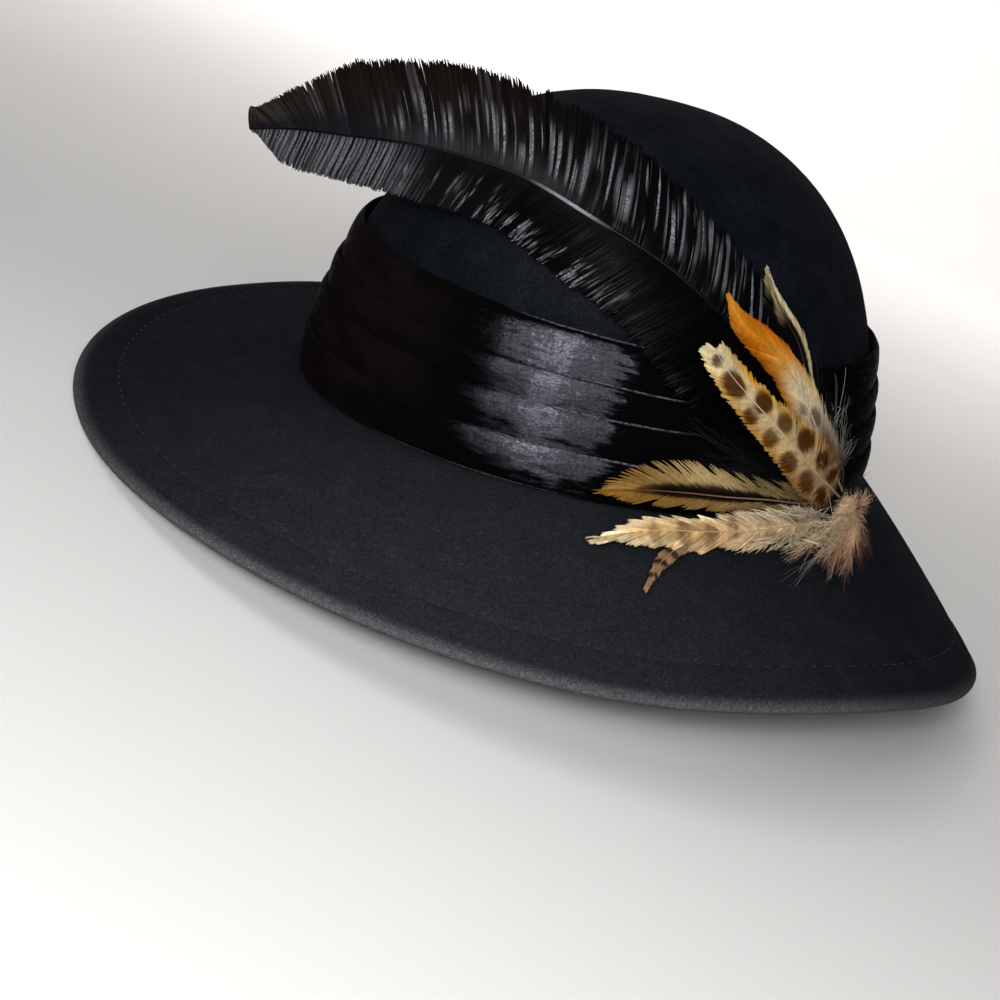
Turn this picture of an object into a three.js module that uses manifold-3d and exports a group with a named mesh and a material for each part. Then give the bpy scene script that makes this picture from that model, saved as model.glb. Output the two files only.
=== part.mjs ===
import * as THREE from 'three';
import { mergeVertices } from 'three/addons/utils/BufferGeometryUtils.js';
import Module from 'manifold-3d';

// A wool felt hat lying on its brim, with a pleated satin band, a long black plume
// and a spray of small feathers. Millimetres, +Z up, the front of the hat towards -Y.

// Felt
const FELT = 1.9; // thickness of the one layer of felt
const HEM = 10; // width of the brim's edge that is turned under
const HEAD_SEAM = 0.3; // between the crown's bottom edge and the brim that it is joined to

// Crown, measured in its own leaning frame, from the middle of its base
const CROWN_HALF_WIDTH = 85.5;
const CROWN_HALF_LENGTH = 100;
const CROWN_HEIGHT = 97;
const CROWN_SQUARENESS = 2.36; // 2 makes the side line an ellipse, more makes it squarer
const CROWN_TAPER = 0.09; // share by which the walls draw in up to the top
const CROWN_LEAN_SIDE = THREE.MathUtils.degToRad(9); // towards -X
const CROWN_LEAN_FRONT = THREE.MathUtils.degToRad(3); // towards -Y
const CROWN_BASE = new THREE.Vector3(0.75, 1.65, 34.4); // middle of the crown's base

// Brim, one row for each 30 degrees round the hat, from +X over +Y.
// reach: level distance from the crown's base to the edge. rise: middle of the edge above the floor.
const BRIM = [
  { turn: 0, reach: 60, rise: 17.5 },
  { turn: 30, reach: 60, rise: 7 },
  { turn: 60, reach: 60, rise: 0.5 },
  { turn: 90, reach: 61, rise: 4.5 },
  { turn: 120, reach: 61, rise: 10 },
  { turn: 150, reach: 61, rise: 12 },
  { turn: 180, reach: 61, rise: 5.5 },
  { turn: 210, reach: 62, rise: 1 },
  { turn: 240, reach: 63, rise: 0.5 },
  { turn: 270, reach: 64, rise: 7 },
  { turn: 300, reach: 63, rise: 15 },
  { turn: 330, reach: 61, rise: 23.5 },
];
const BRIM_CURL = 1.15; // above 1 the brim bends down more towards its edge

// Satin band
const BAND_SEAT = 0.4; // gap between the band's back and the crown's true curve
const BAND_BOTTOM = 0.4;
const BAND_HEIGHT = 44.6;
const BAND_TILT_SIDE = -3.8; // how the top edge rises and falls round the crown
const BAND_TILT_BACK = 2.8;
const FOLD_PROUD = 2.8; // how far a fold's upper edge stands off the crown
const FOLD_TUCK = 1.4; // how far the satin stands off where the next fold covers it
const FOLD_LIP = 0.03; // share of the band's height that rounds a fold's edge
const FOLD_BELLY = 0.6; // where a fold starts to draw in, as a share of the way down to the next
const FOLD_DRAW = 0.3; // share of the way from proud to tucked that it has drawn in there
const BAND_BACK_ROWS = 5;
const FOLD_TOPS = [1, 0.73, 0.53, 0.28]; // upper edge of each fold, as a share of the height

// Feathers
const VANE = 0.8; // thickness of a vane along its shaft
const QUILL = 0.6; // half width of a bare quill
const SERRATION = 0.16; // share of the width that the tips of the barbs rise and fall by

// Binding pad that the quills end round. A quill's bearing is measured round the pad: 90 is up
// the crown and 180 is towards the front.
const PAD = { turn: 348, up: 3.8, out: 7.05, halfLength: 6, halfHeight: 3.2, thickness: 5 };
const PAD_GAP = 0.3; // between the pad's face and the down on it
const QUILL_GAP = 0.6; // from the pad's side to the middle of a quill's end
const CROWN_ROUND = 1.85; // millimetres to a degree, round the crown at the pad
function quillEnd(bearing, out) {
  const a = THREE.MathUtils.degToRad(bearing);
  return {
    turn: PAD.turn + ((PAD.halfLength + QUILL_GAP) * Math.cos(a)) / CROWN_ROUND,
    up: PAD.up + (PAD.halfHeight + QUILL_GAP) * Math.sin(a),
    out,
    left: QUILL,
    right: QUILL,
    roll: 0,
  };
}

// Each feather's shaft runs from its quill at the pad to its tip. turn: degrees round the crown.
// up: height on the crown's axis. out: distance off the wall. left, right: half widths of the vane,
// seen from outside with the tip ahead. roll: degrees that the vane's left side swings off the wall.
const PLUME = [
  quillEnd(98, 5.2),
  { turn: 344, up: 16, out: 5.8, left: 5, right: 4, roll: 0 },
  { turn: 339, up: 24, out: 6.4, left: 12, right: 7, roll: 0 },
  { turn: 332, up: 33, out: 6.8, left: 17, right: 8.5, roll: -1 },
  { turn: 325, up: 40, out: 7.1, left: 19, right: 10, roll: -2 },
  { turn: 317, up: 47, out: 7.5, left: 19, right: 12.5, roll: -3 },
  { turn: 303, up: 57, out: 8, left: 17, right: 15, roll: -10 },
  { turn: 287, up: 63, out: 8.8, left: 16, right: 19, roll: -19 },
  { turn: 270, up: 66, out: 12, left: 13.5, right: 19, roll: -28 },
  { turn: 252, up: 63, out: 18, left: 13.5, right: 19.5, roll: -36 },
  { turn: 238, up: 56, out: 28, left: 11, right: 18, roll: -40 },
  { turn: 232, up: 52, out: 35, left: 9.5, right: 12.5, roll: -40 },
  { turn: 227, up: 47, out: 43, left: 6, right: 5, roll: -40 },
];
const SPOTTED = [
  quillEnd(128, 8.6),
  { turn: 341.5, up: 10, out: 10, left: 5, right: 4, roll: 0 },
  { turn: 337, up: 13.5, out: 11.2, left: 6.8, right: 7.2, roll: 0 },
  { turn: 329.6, up: 21.3, out: 11.8, left: 7, right: 8.4, roll: 0 },
  { turn: 322.2, up: 29.1, out: 12, left: 6, right: 6, roll: 0 },
  { turn: 315.5, up: 36.4, out: 12, left: 4.8, right: 4.8, roll: 0 },
  { turn: 311.5, up: 41.7, out: 12, left: 3, right: 3.2, roll: 0 },
];
const ORANGE = [
  quillEnd(92, 7.5),
  { turn: 342.5, up: 14, out: 9, left: 3, right: 3, roll: 0 },
  { turn: 336.4, up: 22.7, out: 10.2, left: 4.5, right: 4.5, roll: 0 },
  { turn: 332, up: 31.2, out: 10.4, left: 5.6, right: 5.6, roll: 0 },
  { turn: 328.5, up: 37, out: 10.4, left: 5.6, right: 5.6, roll: 0 },
  { turn: 324.3, up: 42, out: 10.4, left: 4.8, right: 4.8, roll: 0 },
  { turn: 320.6, up: 45.2, out: 10.4, left: 4.4, right: 4.4, roll: 0 },
  { turn: 317, up: 48.3, out: 10.4, left: 3.4, right: 3.4, roll: 0 },
  { turn: 314.3, up: 53.3, out: 10.4, left: 0.3, right: 0.3, roll: 0 },
];
const EDGED = [
  quillEnd(76, 6.4),
  { turn: 346.5, up: 14, out: 7.4, left: 2.5, right: 2.5, roll: 0 },
  { turn: 340, up: 21, out: 8.6, left: 4, right: 3.4, roll: 0 },
  { turn: 334.8, up: 30, out: 9, left: 4.6, right: 3.4, roll: 0 },
  { turn: 331.8, up: 39, out: 9, left: 5, right: 3.6, roll: 0 },
  { turn: 329.6, up: 45.5, out: 9, left: 5, right: 4.4, roll: 0 },
  { turn: 326.6, up: 50.5, out: 9, left: 4.4, right: 4, roll: 0 },
  { turn: 323.9, up: 55, out: 9.6, left: 3, right: 2.4, roll: 0 },
  { turn: 322, up: 60, out: 10.4, left: 0.3, right: 0.3, roll: 0 },
];
const GOLDEN = [
  quillEnd(160, 6.4),
  { turn: 336.3, up: 6, out: 7.8, left: 4, right: 3.5, roll: 0 },
  { turn: 329, up: 7.2, out: 8, left: 4.4, right: 4.6, roll: 0 },
  { turn: 321, up: 7.5, out: 8, left: 4.4, right: 6.5, roll: 0 },
  { turn: 314, up: 7.6, out: 8, left: 4.6, right: 8.4, roll: 0 },
  { turn: 307.6, up: 7, out: 8, left: 4.2, right: 7.2, roll: 0 },
  { turn: 303, up: 5.8, out: 8, left: 2.8, right: 4.5, roll: 0 },
  { turn: 300.3, up: 4.4, out: 8, left: 0.3, right: 0.3, roll: 0 },
];
const CREAM = [
  quillEnd(182, 7.8),
  { turn: 340, up: 2, out: 9.4, left: 3.4, right: 3, roll: 5 },
  { turn: 331.5, up: 0.9, out: 11, left: 4.6, right: 4.6, roll: 20 },
  { turn: 322.8, up: 0, out: 12.4, left: 5.2, right: 5, roll: 38 },
  { turn: 315.7, up: -0.4, out: 13.4, left: 5.4, right: 5.2, roll: 45 },
  { turn: 309.2, up: -1, out: 14.8, left: 4.6, right: 4.4, roll: 45 },
  { turn: 304.4, up: -2.3, out: 17.2, left: 3.4, right: 3.2, roll: 45 },
  { turn: 299.5, up: -4.3, out: 21.8, left: 0.3, right: 0.3, roll: 45 },
];
const BARRED = [
  quillEnd(205, 5.2),
  { turn: 333.7, up: 0.6, out: 5.8, left: 1.6, right: 1.6, roll: 30 },
  { turn: 324.9, up: -0.5, out: 7, left: 2, right: 2, roll: 50 },
  { turn: 317.6, up: -1.9, out: 10, left: 2, right: 2, roll: 60 },
  { turn: 314.4, up: -3.3, out: 13.4, left: 2.1, right: 2.1, roll: 60 },
  { turn: 309.5, up: -6.4, out: 20.4, left: 2, right: 2, roll: 60 },
  { turn: 305.8, up: -11.4, out: 31.5, left: 0.4, right: 0.4, roll: 60 },
];

const LOCK_PITCH = 9; // along the plume's shaft
const LOCK_SWEEP = 10; // how far a lock's tip leans towards the plume's tip
const PLUME_BACKING = 0.55; // share of the vane that is whole before it parts into locks
const LOCK_START = 0.3; // share of the vane's width where a lock leaves it
const LOCK_FOOT = 0.72; // width of a lock at its foot and at its tip, as shares of the pitch
const LOCK_END = 0.3;

// Locks of down, each from the pad out to the place in its row
const DARK_DOWN = [
  { turn: 314, up: 29, out: 4.2 },
  { turn: 314.5, up: 22, out: 4.4 },
  { turn: 318, up: 15, out: 4.4 },
  { turn: 325, up: 11, out: 4.4 },
  { turn: 320, up: 27, out: 4.2 },
  { turn: 326, up: 29, out: 4.2 },
  { turn: 343, up: 29, out: 4.2 },
  { turn: 351, up: 19, out: 4.2 },
  { turn: 363, up: 7, out: 4.2 },
  { turn: 361, up: 1.5, out: 4.4 },
];
const BEIGE_DOWN = [
  { turn: 339, up: -9, out: 26 },
  { turn: 335, up: -6.5, out: 24 },
  { turn: 342.5, up: -8.5, out: 25 },
  { turn: 356, up: -5, out: 18 },
  { turn: 331, up: -3.5, out: 20 },
  { turn: 349, up: -6, out: 20 },
  { turn: 358, up: 3, out: 12.5 },
  { turn: 340, up: 7, out: 14 },
  { turn: 346, up: 13, out: 14 },
  { turn: 352, up: 12, out: 13 },
];
const DARK_DOWN_OUT = 3.85; // the dark down's backing lies between the band and the pad
const DARK_BACKING = { halfLength: 8, halfHeight: 4.2, thickness: 0.8 };
const DOWN_CORE = { halfLength: 7, halfHeight: 4.6, thickness: 4.4 };
const BEIGE_DOWN_OUT = PAD.out + PAD.thickness / 2 + PAD_GAP + DOWN_CORE.thickness / 2;
const DOWN_ROOT = 3.4; // width of a lock of down where it leaves its core
const DOWN_TIP = 1.2;
const DOWN_STEP = 8; // spacing of its sections

const SEGMENTS = 57; // round the hat
const CROWN_ROWS = 9;
const BRIM_ROWS = 6;
const SHAFT_STEP = 5; // spacing of a feather's sections along its shaft
const PAD_SIDES = 20;
const PEBBLE_SIDES = 12;
const PEBBLE_ROWS = 8;

const wasm = await Module();
wasm.setup();

const { degToRad, clamp, lerp } = THREE.MathUtils;
const mix = (a, b, share) => new THREE.Vector3().lerpVectors(a, b, share);
const along = (point, direction, distance) => point.clone().addScaledVector(direction, distance);

// Value of a column of the brim's table at any turn, on a smooth closed curve
function brimAt(column, turn) {
  const count = BRIM.length;
  const place = (((turn % 360) + 360) % 360) * count / 360;
  const index = Math.floor(place);
  const f = place - index;
  const [a, b, c, d] = [-1, 0, 1, 2].map((k) => BRIM[(index + k + count) % count][column]);
  return 0.5 * (2 * b + (c - a) * f + (2 * a - 5 * b + 4 * c - d) * f ** 2
    + (3 * b - a - 3 * c + d) * f ** 3);
}

// Share of the base's size that the crown keeps at a share t of its height
function narrowing(t) {
  return (1 - t ** CROWN_SQUARENESS) ** (1 / CROWN_SQUARENESS) * (1 - CROWN_TAPER * t);
}

// Point on the crown's outside, in the crown's frame, moved off the wall along its normal.
// Below the base the wall is taken to run straight down.
function onCrown(turn, up, out = 0) {
  const a = degToRad(turn);
  const t = clamp(up / CROWN_HEIGHT, 0, 0.9999);
  const dt = 1e-4;
  const slope = (narrowing(Math.min(t + dt, 1)) - narrowing(Math.max(t - dt, 0)))
    / ((Math.min(t + dt, 1) - Math.max(t - dt, 0)) * CROWN_HEIGHT);
  const normal = new THREE.Vector3(
    CROWN_HALF_LENGTH * Math.cos(a),
    CROWN_HALF_WIDTH * Math.sin(a),
    -CROWN_HALF_LENGTH * CROWN_HALF_WIDTH * slope,
  ).normalize();
  const k = narrowing(t);
  const wall = new THREE.Vector3(
    CROWN_HALF_WIDTH * k * Math.cos(a),
    CROWN_HALF_LENGTH * k * Math.sin(a),
    up,
  );
  return { point: along(wall, normal, out), normal };
}

// The crown's frame leans in the hat's frame
const lean = new THREE.Matrix4().makeRotationY(-CROWN_LEAN_SIDE)
  .multiply(new THREE.Matrix4().makeRotationX(CROWN_LEAN_FRONT))
  .setPosition(CROWN_BASE);

// Upper face of the brim, in the hat's frame: u is 0 at the crown and 1 at the edge
function brimTop(turn, u) {
  const a = degToRad(turn);
  const base = onCrown(turn, 0).point.applyMatrix4(lean);
  const level = new THREE.Vector2(Math.cos(a) / CROWN_HALF_WIDTH, Math.sin(a) / CROWN_HALF_LENGTH);
  level.normalize().multiplyScalar((brimAt('reach', turn) - FELT) * u);
  const edge = brimAt('rise', turn) + FELT;
  return new THREE.Vector3(base.x + level.x, base.y + level.y, lerp(base.z, edge, u ** BRIM_CURL));
}

// Outward and upward directions of the brim's face
function brimFrame(turn, u) {
  const step = 0.01;
  const low = clamp(u - step, 0, 1);
  const high = clamp(u + step, 0, 1);
  const outward = brimTop(turn, high).sub(brimTop(turn, low)).normalize();
  const forward = brimTop(turn + step, u).sub(brimTop(turn - step, u));
  return { outward, upward: outward.clone().cross(forward).normalize() };
}

// Point of the brim, moved off its upper face: depth below it and reach beyond it.
// The felt is flattened where it would go below the floor.
function brimPoint(turn, u, depth, beyond = 0) {
  const { outward, upward } = brimFrame(turn, u);
  const point = along(along(brimTop(turn, u), upward, -depth), outward, beyond);
  point.z = Math.max(point.z, 0);
  return point;
}

// Mesh from a list of triangles given as point indices
function meshFrom(points, faces) {
  const geometry = new THREE.BufferGeometry();
  const flat = points.flatMap((p) => [p.x, p.y, p.z]);
  geometry.setAttribute('position', new THREE.Float32BufferAttribute(flat, 3));
  geometry.setIndex(faces.flat());
  geometry.computeVertexNormals();
  return geometry;
}

// Closed skin through rings of points, shut by one point at each end. Each ring runs
// anticlockwise as seen from the first point.
function skin(first, rings, last) {
  const count = rings[0].length;
  const points = [first, ...rings.flat(), last];
  const at = (row, i) => 1 + row * count + (i % count);
  const faces = [];
  for (let i = 0; i < count; i += 1) {
    faces.push([0, at(0, i), at(0, i + 1)]);
    for (let row = 0; row + 1 < rings.length; row += 1) {
      faces.push([at(row, i), at(row + 1, i), at(row + 1, i + 1)]);
      faces.push([at(row, i), at(row + 1, i + 1), at(row, i + 1)]);
    }
    faces.push([at(rings.length - 1, i), points.length - 1, at(rings.length - 1, i + 1)]);
  }
  return meshFrom(points, faces);
}

// Closed hoop through rings of points that shut on themselves
function hoop(rings) {
  const count = rings[0].length;
  const faces = [];
  const at = (row, i) => (row % rings.length) * count + (i % count);
  for (let row = 0; row < rings.length; row += 1) {
    for (let i = 0; i < count; i += 1) {
      faces.push([at(row, i), at(row + 1, i), at(row + 1, i + 1)]);
      faces.push([at(row, i), at(row + 1, i + 1), at(row, i + 1)]);
    }
  }
  return meshFrom(rings.flat(), faces);
}

const turns = Array.from({ length: SEGMENTS }, (_, i) => (360 * i) / SEGMENTS);
const ringOf = (pointAt) => turns.map(pointAt);

const crownRing = (up, out) => ringOf((turn) => onCrown(turn, up, out).point.applyMatrix4(lean));

// Domed shell, open below: down the outside and up the inside
function crown() {
  const heights = Array.from({ length: CROWN_ROWS }, (_, i) => {
    const angle = (Math.PI / 2) * (1 - (i + 1) / CROWN_ROWS);
    return Math.max(CROWN_HEIGHT * Math.sin(angle) ** (2 / CROWN_SQUARENESS), HEAD_SEAM);
  });
  const rings = [
    ...heights.map((up) => crownRing(up, 0)),
    ...heights.slice().reverse().map((up) => crownRing(up, -FELT)),
  ];
  const top = new THREE.Vector3(0, 0, CROWN_HEIGHT).applyMatrix4(lean);
  const inside = new THREE.Vector3(0, 0, CROWN_HEIGHT - FELT).applyMatrix4(lean);
  return skin(top, rings, inside);
}

// Brim from under the crown's bottom edge out over the top, round the hem and back below
function brim() {
  const hemRing = (inset, depth, beyond) => ringOf((turn) => {
    const u = 1 - inset / (brimAt('reach', turn) - FELT);
    return brimPoint(turn, u, depth, beyond);
  });
  const shares = Array.from({ length: BRIM_ROWS + 1 }, (_, i) => i / BRIM_ROWS);
  const bead = [45, 90, 135].map((angle) => {
    const a = degToRad(angle);
    return hemRing(0, FELT * (1 - Math.cos(a)), FELT * Math.sin(a));
  });
  return hoop([
    crownRing(0, -FELT),
    ...shares.map((u) => ringOf((turn) => brimPoint(turn, u, 0))),
    ...bead,
    hemRing(0, 2 * FELT),
    hemRing(HEM / 3, 2 * FELT),
    hemRing(HEM, 2 * FELT),
    hemRing(HEM, FELT),
    ...shares.slice(0, -1).reverse().map((u) => ringOf((turn) => brimPoint(turn, u, FELT))),
    crownRing(-FELT, -FELT),
  ]);
}

// Pleated band: folds that open upwards, each tucked under the next one down
function satinBand() {
  const bandUp = (turn, share) => {
    const a = degToRad(turn);
    const top = BAND_HEIGHT + BAND_TILT_SIDE * Math.cos(a) + BAND_TILT_BACK * Math.sin(a);
    return lerp(BAND_BOTTOM, top, share);
  };
  const outer = FOLD_TOPS.flatMap((top, i) => {
    const below = FOLD_TOPS[i + 1] ?? 0;
    return [
      { share: top, out: FOLD_TUCK },
      { share: top - FOLD_LIP, out: FOLD_PROUD },
      { share: lerp(top, below, FOLD_BELLY), out: lerp(FOLD_PROUD, FOLD_TUCK, FOLD_DRAW) },
    ];
  });
  const inner = Array.from({ length: BAND_BACK_ROWS + 1 }, (_, i) => (
    { share: i / BAND_BACK_ROWS, out: BAND_SEAT }
  ));
  const section = [...outer, { share: 0, out: FOLD_TUCK + BAND_SEAT }, ...inner];
  return hoop(section.map(({ share, out }) => (
    ringOf((turn) => onCrown(turn, bandUp(turn, share), out).point)
  )));
}

// Row half way between two rows of a table
function middleOf(a, b) {
  return Object.fromEntries(Object.keys(a).map((column) => [column, lerp(a[column], b[column], 0.5)]));
}

// Sections along a feather's shaft, spaced evenly and facing away from the crown
function shaftOf(rows, step = SHAFT_STEP) {
  const curve = new THREE.CatmullRomCurve3(
    rows.map(({ turn, up, out }) => onCrown(turn, up, out).point),
    false,
    'centripetal',
  );
  const count = Math.ceil(curve.getLength() / step);
  const stretches = rows.slice(1).map((row, i) => {
    const before = onCrown(rows[i].turn, rows[i].up, rows[i].out).point;
    return before.distanceTo(onCrown(row.turn, row.up, row.out).point);
  });
  const whole = stretches.reduce((sum, length) => sum + length, 0);
  return Array.from({ length: count + 1 }, (_, i) => {
    const share = i / count;
    let row = 0;
    let left = share * whole;
    while (row < stretches.length - 1 && left > stretches[row]) {
      left -= stretches[row];
      row += 1;
    }
    const f = clamp(left / stretches[row], 0, 1);
    const value = (column) => lerp(rows[row][column], rows[row + 1][column], f);
    const point = curve.getPointAt(share);
    const tangent = curve.getTangentAt(share);
    const facing = onCrown(value('turn'), value('up')).normal;
    const lying = facing.clone().cross(tangent).normalize();
    const across = lying.applyAxisAngle(tangent, degToRad(value('roll')));
    const normal = tangent.clone().cross(across).normalize();
    return { point, tangent, across, normal, left: value('left'), right: value('right') };
  });
}

// Thin leaf, thickest along its shaft, with the tips of its barbs as a saw edge
function vane(sections, widthShare = 1) {
  const rings = sections.slice(0, -1).map((section, i) => {
    const { point, across, normal, left, right } = section;
    const saw = widthShare * (1 - SERRATION * (i % 2));
    return [
      along(point, normal, VANE / 2),
      along(point, across, Math.max(left * saw, QUILL)),
      along(point, normal, -VANE / 2),
      along(point, across, -Math.max(right * saw, QUILL)),
    ];
  });
  return skin(sections[0].point, rings, sections.at(-1).point);
}

// Tapered blade from its root to its tip
function blade(root, tip, normal, rootWidth, tipWidth, thickness) {
  const side = tip.clone().sub(root).cross(normal).normalize();
  const face = side.clone().cross(tip.clone().sub(root)).normalize();
  const section = (at, width) => [[1, 1], [-1, 1], [-1, -1], [1, -1]].map(([s, f]) => (
    along(along(at, side, (s * width) / 2), face, (f * thickness) / 2)
  ));
  return skin(root, [section(root, rootWidth), section(tip, tipWidth)], tip);
}

// Solid of a closed mesh, for joining
function solidOf(geometry) {
  const bare = geometry.clone();
  bare.deleteAttribute('normal');
  bare.deleteAttribute('uv');
  const merged = mergeVertices(bare);
  return new wasm.Manifold(new wasm.Mesh({
    numProp: 3,
    vertProperties: merged.attributes.position.array,
    triVerts: Uint32Array.from(merged.index.array),
  }));
}

// One mesh from several closed ones that cross each other
function fuse(geometries) {
  const solid = geometries.map(solidOf).reduce((whole, next) => whole.add(next));
  const { vertProperties, triVerts } = solid.getMesh();
  const geometry = new THREE.BufferGeometry();
  geometry.setAttribute('position', new THREE.Float32BufferAttribute(vertProperties, 3));
  geometry.setIndex(new THREE.Uint32BufferAttribute(triVerts, 1));
  geometry.computeVertexNormals();
  return geometry;
}

// Long plume: a whole vane along the shaft that parts into locks on both sides
function plume() {
  const sections = shaftOf(PLUME);
  const length = sections.slice(1).reduce((sum, section, i) => (
    sum + section.point.distanceTo(sections[i].point)
  ), 0);
  const sectionAt = (distance) => {
    const place = clamp(distance / length, 0, 1) * (sections.length - 1);
    const index = Math.min(Math.floor(place), sections.length - 2);
    const f = place - index;
    const [a, b] = [sections[index], sections[index + 1]];
    return {
      point: mix(a.point, b.point, f),
      across: mix(a.across, b.across, f).normalize(),
      normal: mix(a.normal, b.normal, f).normalize(),
      left: lerp(a.left, b.left, f),
      right: lerp(a.right, b.right, f),
    };
  };
  const locks = [];
  for (let distance = 3 * LOCK_PITCH; distance < length - LOCK_PITCH; distance += LOCK_PITCH) {
    ['left', 'right'].forEach((side) => {
      const sign = side === 'left' ? 1 : -1;
      const root = sectionAt(distance - LOCK_SWEEP);
      const tip = sectionAt(distance);
      const start = along(root.point, root.across, sign * root[side] * LOCK_START);
      const end = along(tip.point, tip.across, sign * tip[side]);
      const [foot, top] = [LOCK_FOOT * LOCK_PITCH, LOCK_END * LOCK_PITCH];
      locks.push(blade(start, end, tip.normal, foot, top, VANE / 2));
    });
  }
  return fuse([vane(sections, PLUME_BACKING), ...locks]);
}

// Frame of a body that lies on the crown's wall: X round the crown, Y up it and Z off it
function wallFrame({ turn, up, out }) {
  const { point, normal } = onCrown(turn, up, out);
  const side = new THREE.Vector3(0, 0, 1).cross(normal).normalize();
  const rise = normal.clone().cross(side);
  return new THREE.Matrix4().makeBasis(side, rise, normal).setPosition(point);
}

// Flattened round body
function pebble(place, { halfLength, halfHeight, thickness }) {
  const geometry = new THREE.SphereGeometry(1, PEBBLE_SIDES, PEBBLE_ROWS);
  return geometry.scale(halfLength, halfHeight, thickness / 2).applyMatrix4(wallFrame(place));
}

// Small flat pad that the quills end round
function bindingPad() {
  const geometry = new THREE.CylinderGeometry(1, 1, 1, PAD_SIDES);
  geometry.rotateX(Math.PI / 2).scale(PAD.halfLength, PAD.halfHeight, PAD.thickness);
  return geometry.applyMatrix4(wallFrame(PAD));
}

// Tuft of down: narrow locks that leave a small core and end at the places in their table
function tuft(out, core, rows) {
  const centre = { turn: PAD.turn, up: PAD.up, out };
  const locks = rows.map((tip) => {
    const start = { ...centre, left: DOWN_ROOT / 2, right: DOWN_ROOT / 2, roll: 0 };
    const end = { ...tip, left: DOWN_TIP / 2, right: DOWN_TIP / 2, roll: 0 };
    return vane(shaftOf([start, middleOf(start, end), end], DOWN_STEP));
  });
  return fuse([pebble(centre, core), ...locks]);
}

const FINISHES = {
  felt: { color: 0x17181c, roughness: 0.95 },
  satin: { color: 0x1c1a20, roughness: 0.35 },
  plume: { color: 0x0d0d0f, roughness: 0.5 },
  spotted: { color: 0xc79a4e, roughness: 0.7 },
  orange: { color: 0xd9821b, roughness: 0.65 },
  edged: { color: 0x16130f, roughness: 0.6 },
  golden: { color: 0xa8783a, roughness: 0.7 },
  cream: { color: 0xd8c39a, roughness: 0.75 },
  barred: { color: 0xb49a7c, roughness: 0.75 },
  beigeDown: { color: 0xa88e78, roughness: 0.9 },
  darkDown: { color: 0x141316, roughness: 0.9 },
  pad: { color: 0x101012, roughness: 0.9 },
};

function piece(name, geometry, finish) {
  const material = new THREE.MeshStandardMaterial({ ...FINISHES[finish], metalness: 0 });
  const mesh = new THREE.Mesh(geometry, material);
  mesh.name = name;
  return mesh;
}

const trimmings = new THREE.Group();
trimmings.applyMatrix4(lean);
trimmings.add(
  piece('satin_band', satinBand(), 'satin'),
  piece('binding_pad', bindingPad(), 'pad'),
  piece('plume', plume(), 'plume'),
  piece('spotted_feather', vane(shaftOf(SPOTTED)), 'spotted'),
  piece('orange_feather', vane(shaftOf(ORANGE)), 'orange'),
  piece('edged_feather', vane(shaftOf(EDGED)), 'edged'),
  piece('golden_feather', vane(shaftOf(GOLDEN)), 'golden'),
  piece('cream_feather', vane(shaftOf(CREAM)), 'cream'),
  piece('barred_feather', vane(shaftOf(BARRED)), 'barred'),
  piece('dark_down', tuft(DARK_DOWN_OUT, DARK_BACKING, DARK_DOWN), 'darkDown'),
  piece('beige_down', tuft(BEIGE_DOWN_OUT, DOWN_CORE, BEIGE_DOWN), 'beigeDown'),
);

const hat = new THREE.Group();
hat.add(piece('crown', crown(), 'felt'), piece('brim', brim(), 'felt'), trimmings);
export default hat;
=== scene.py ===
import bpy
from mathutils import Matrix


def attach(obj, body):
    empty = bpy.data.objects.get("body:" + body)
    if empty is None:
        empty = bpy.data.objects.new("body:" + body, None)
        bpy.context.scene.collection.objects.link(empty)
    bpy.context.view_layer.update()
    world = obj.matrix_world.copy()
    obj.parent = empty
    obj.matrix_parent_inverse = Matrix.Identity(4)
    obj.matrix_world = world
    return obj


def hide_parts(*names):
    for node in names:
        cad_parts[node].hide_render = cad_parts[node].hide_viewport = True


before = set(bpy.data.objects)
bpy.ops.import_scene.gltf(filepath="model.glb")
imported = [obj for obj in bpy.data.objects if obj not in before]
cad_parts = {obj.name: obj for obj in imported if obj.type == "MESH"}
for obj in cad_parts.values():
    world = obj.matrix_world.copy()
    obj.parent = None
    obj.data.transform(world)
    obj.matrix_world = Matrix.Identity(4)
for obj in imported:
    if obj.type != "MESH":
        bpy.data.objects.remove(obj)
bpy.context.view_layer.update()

import math

import bpy
import numpy as np
from mathutils import Matrix, Vector, noise

# A wool felt hat that lies on its brim, with a pleated satin band, a long black plume and a
# spray of small feathers. Sizes are millimetres here and become metres as each mesh is made.
MM = 0.001

# Felt
FELT = 1.9  # thickness
HEM = 10  # width of the edge that is turned under
CROWN_HALF_WIDTH = 85.5
CROWN_HALF_LENGTH = 100
CROWN_HEIGHT = 97
CROWN_SQUARENESS = 2.36  # power of the round from the wall to the top
CROWN_TAPER = 0.09  # share of its width that the crown loses upwards
CROWN_LEAN_SIDE = math.radians(9)
CROWN_LEAN_FRONT = math.radians(3)
CROWN_BASE = np.array([0.75, 1.65, 34.4])  # middle of the crown's base
CROWN_FOOT = 0.05  # height of the crown's lowest edge above its base
CROWN_ROWS = 66  # of faces up the outside
INSIDE_ROWS = 40
COLUMNS = 252  # of faces round the felt

# Brim, a value for each 30 degrees round the hat from +X over +Y: level reach and rise of its edge
BRIM = {
    "reach": [60, 60, 60, 61, 61, 61, 61, 62, 63, 64, 63, 61],
    "rise": [17.5, 7, 0.5, 4.5, 10, 12, 5.5, 1, 0.5, 7, 15, 23.5],
}
BRIM_CURL = 1.15  # power by which the brim rises towards its edge
BRIM_WIDTH = 59  # from which the hem's rows get their places
BRIM_ROWS = 22  # of faces from the crown to the hem
HEM_SWELL = 0.25  # how far the hem bulges between its seam and its edge
SEAM_GROOVE = 0.35  # how deep the hem's stitches pull the felt in
GROOVE_WIDTH = 1.1
STITCH_PITCH = 5.0
STITCH_LENGTH = 2.4
STITCH_RADIUS = 0.2

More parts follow.
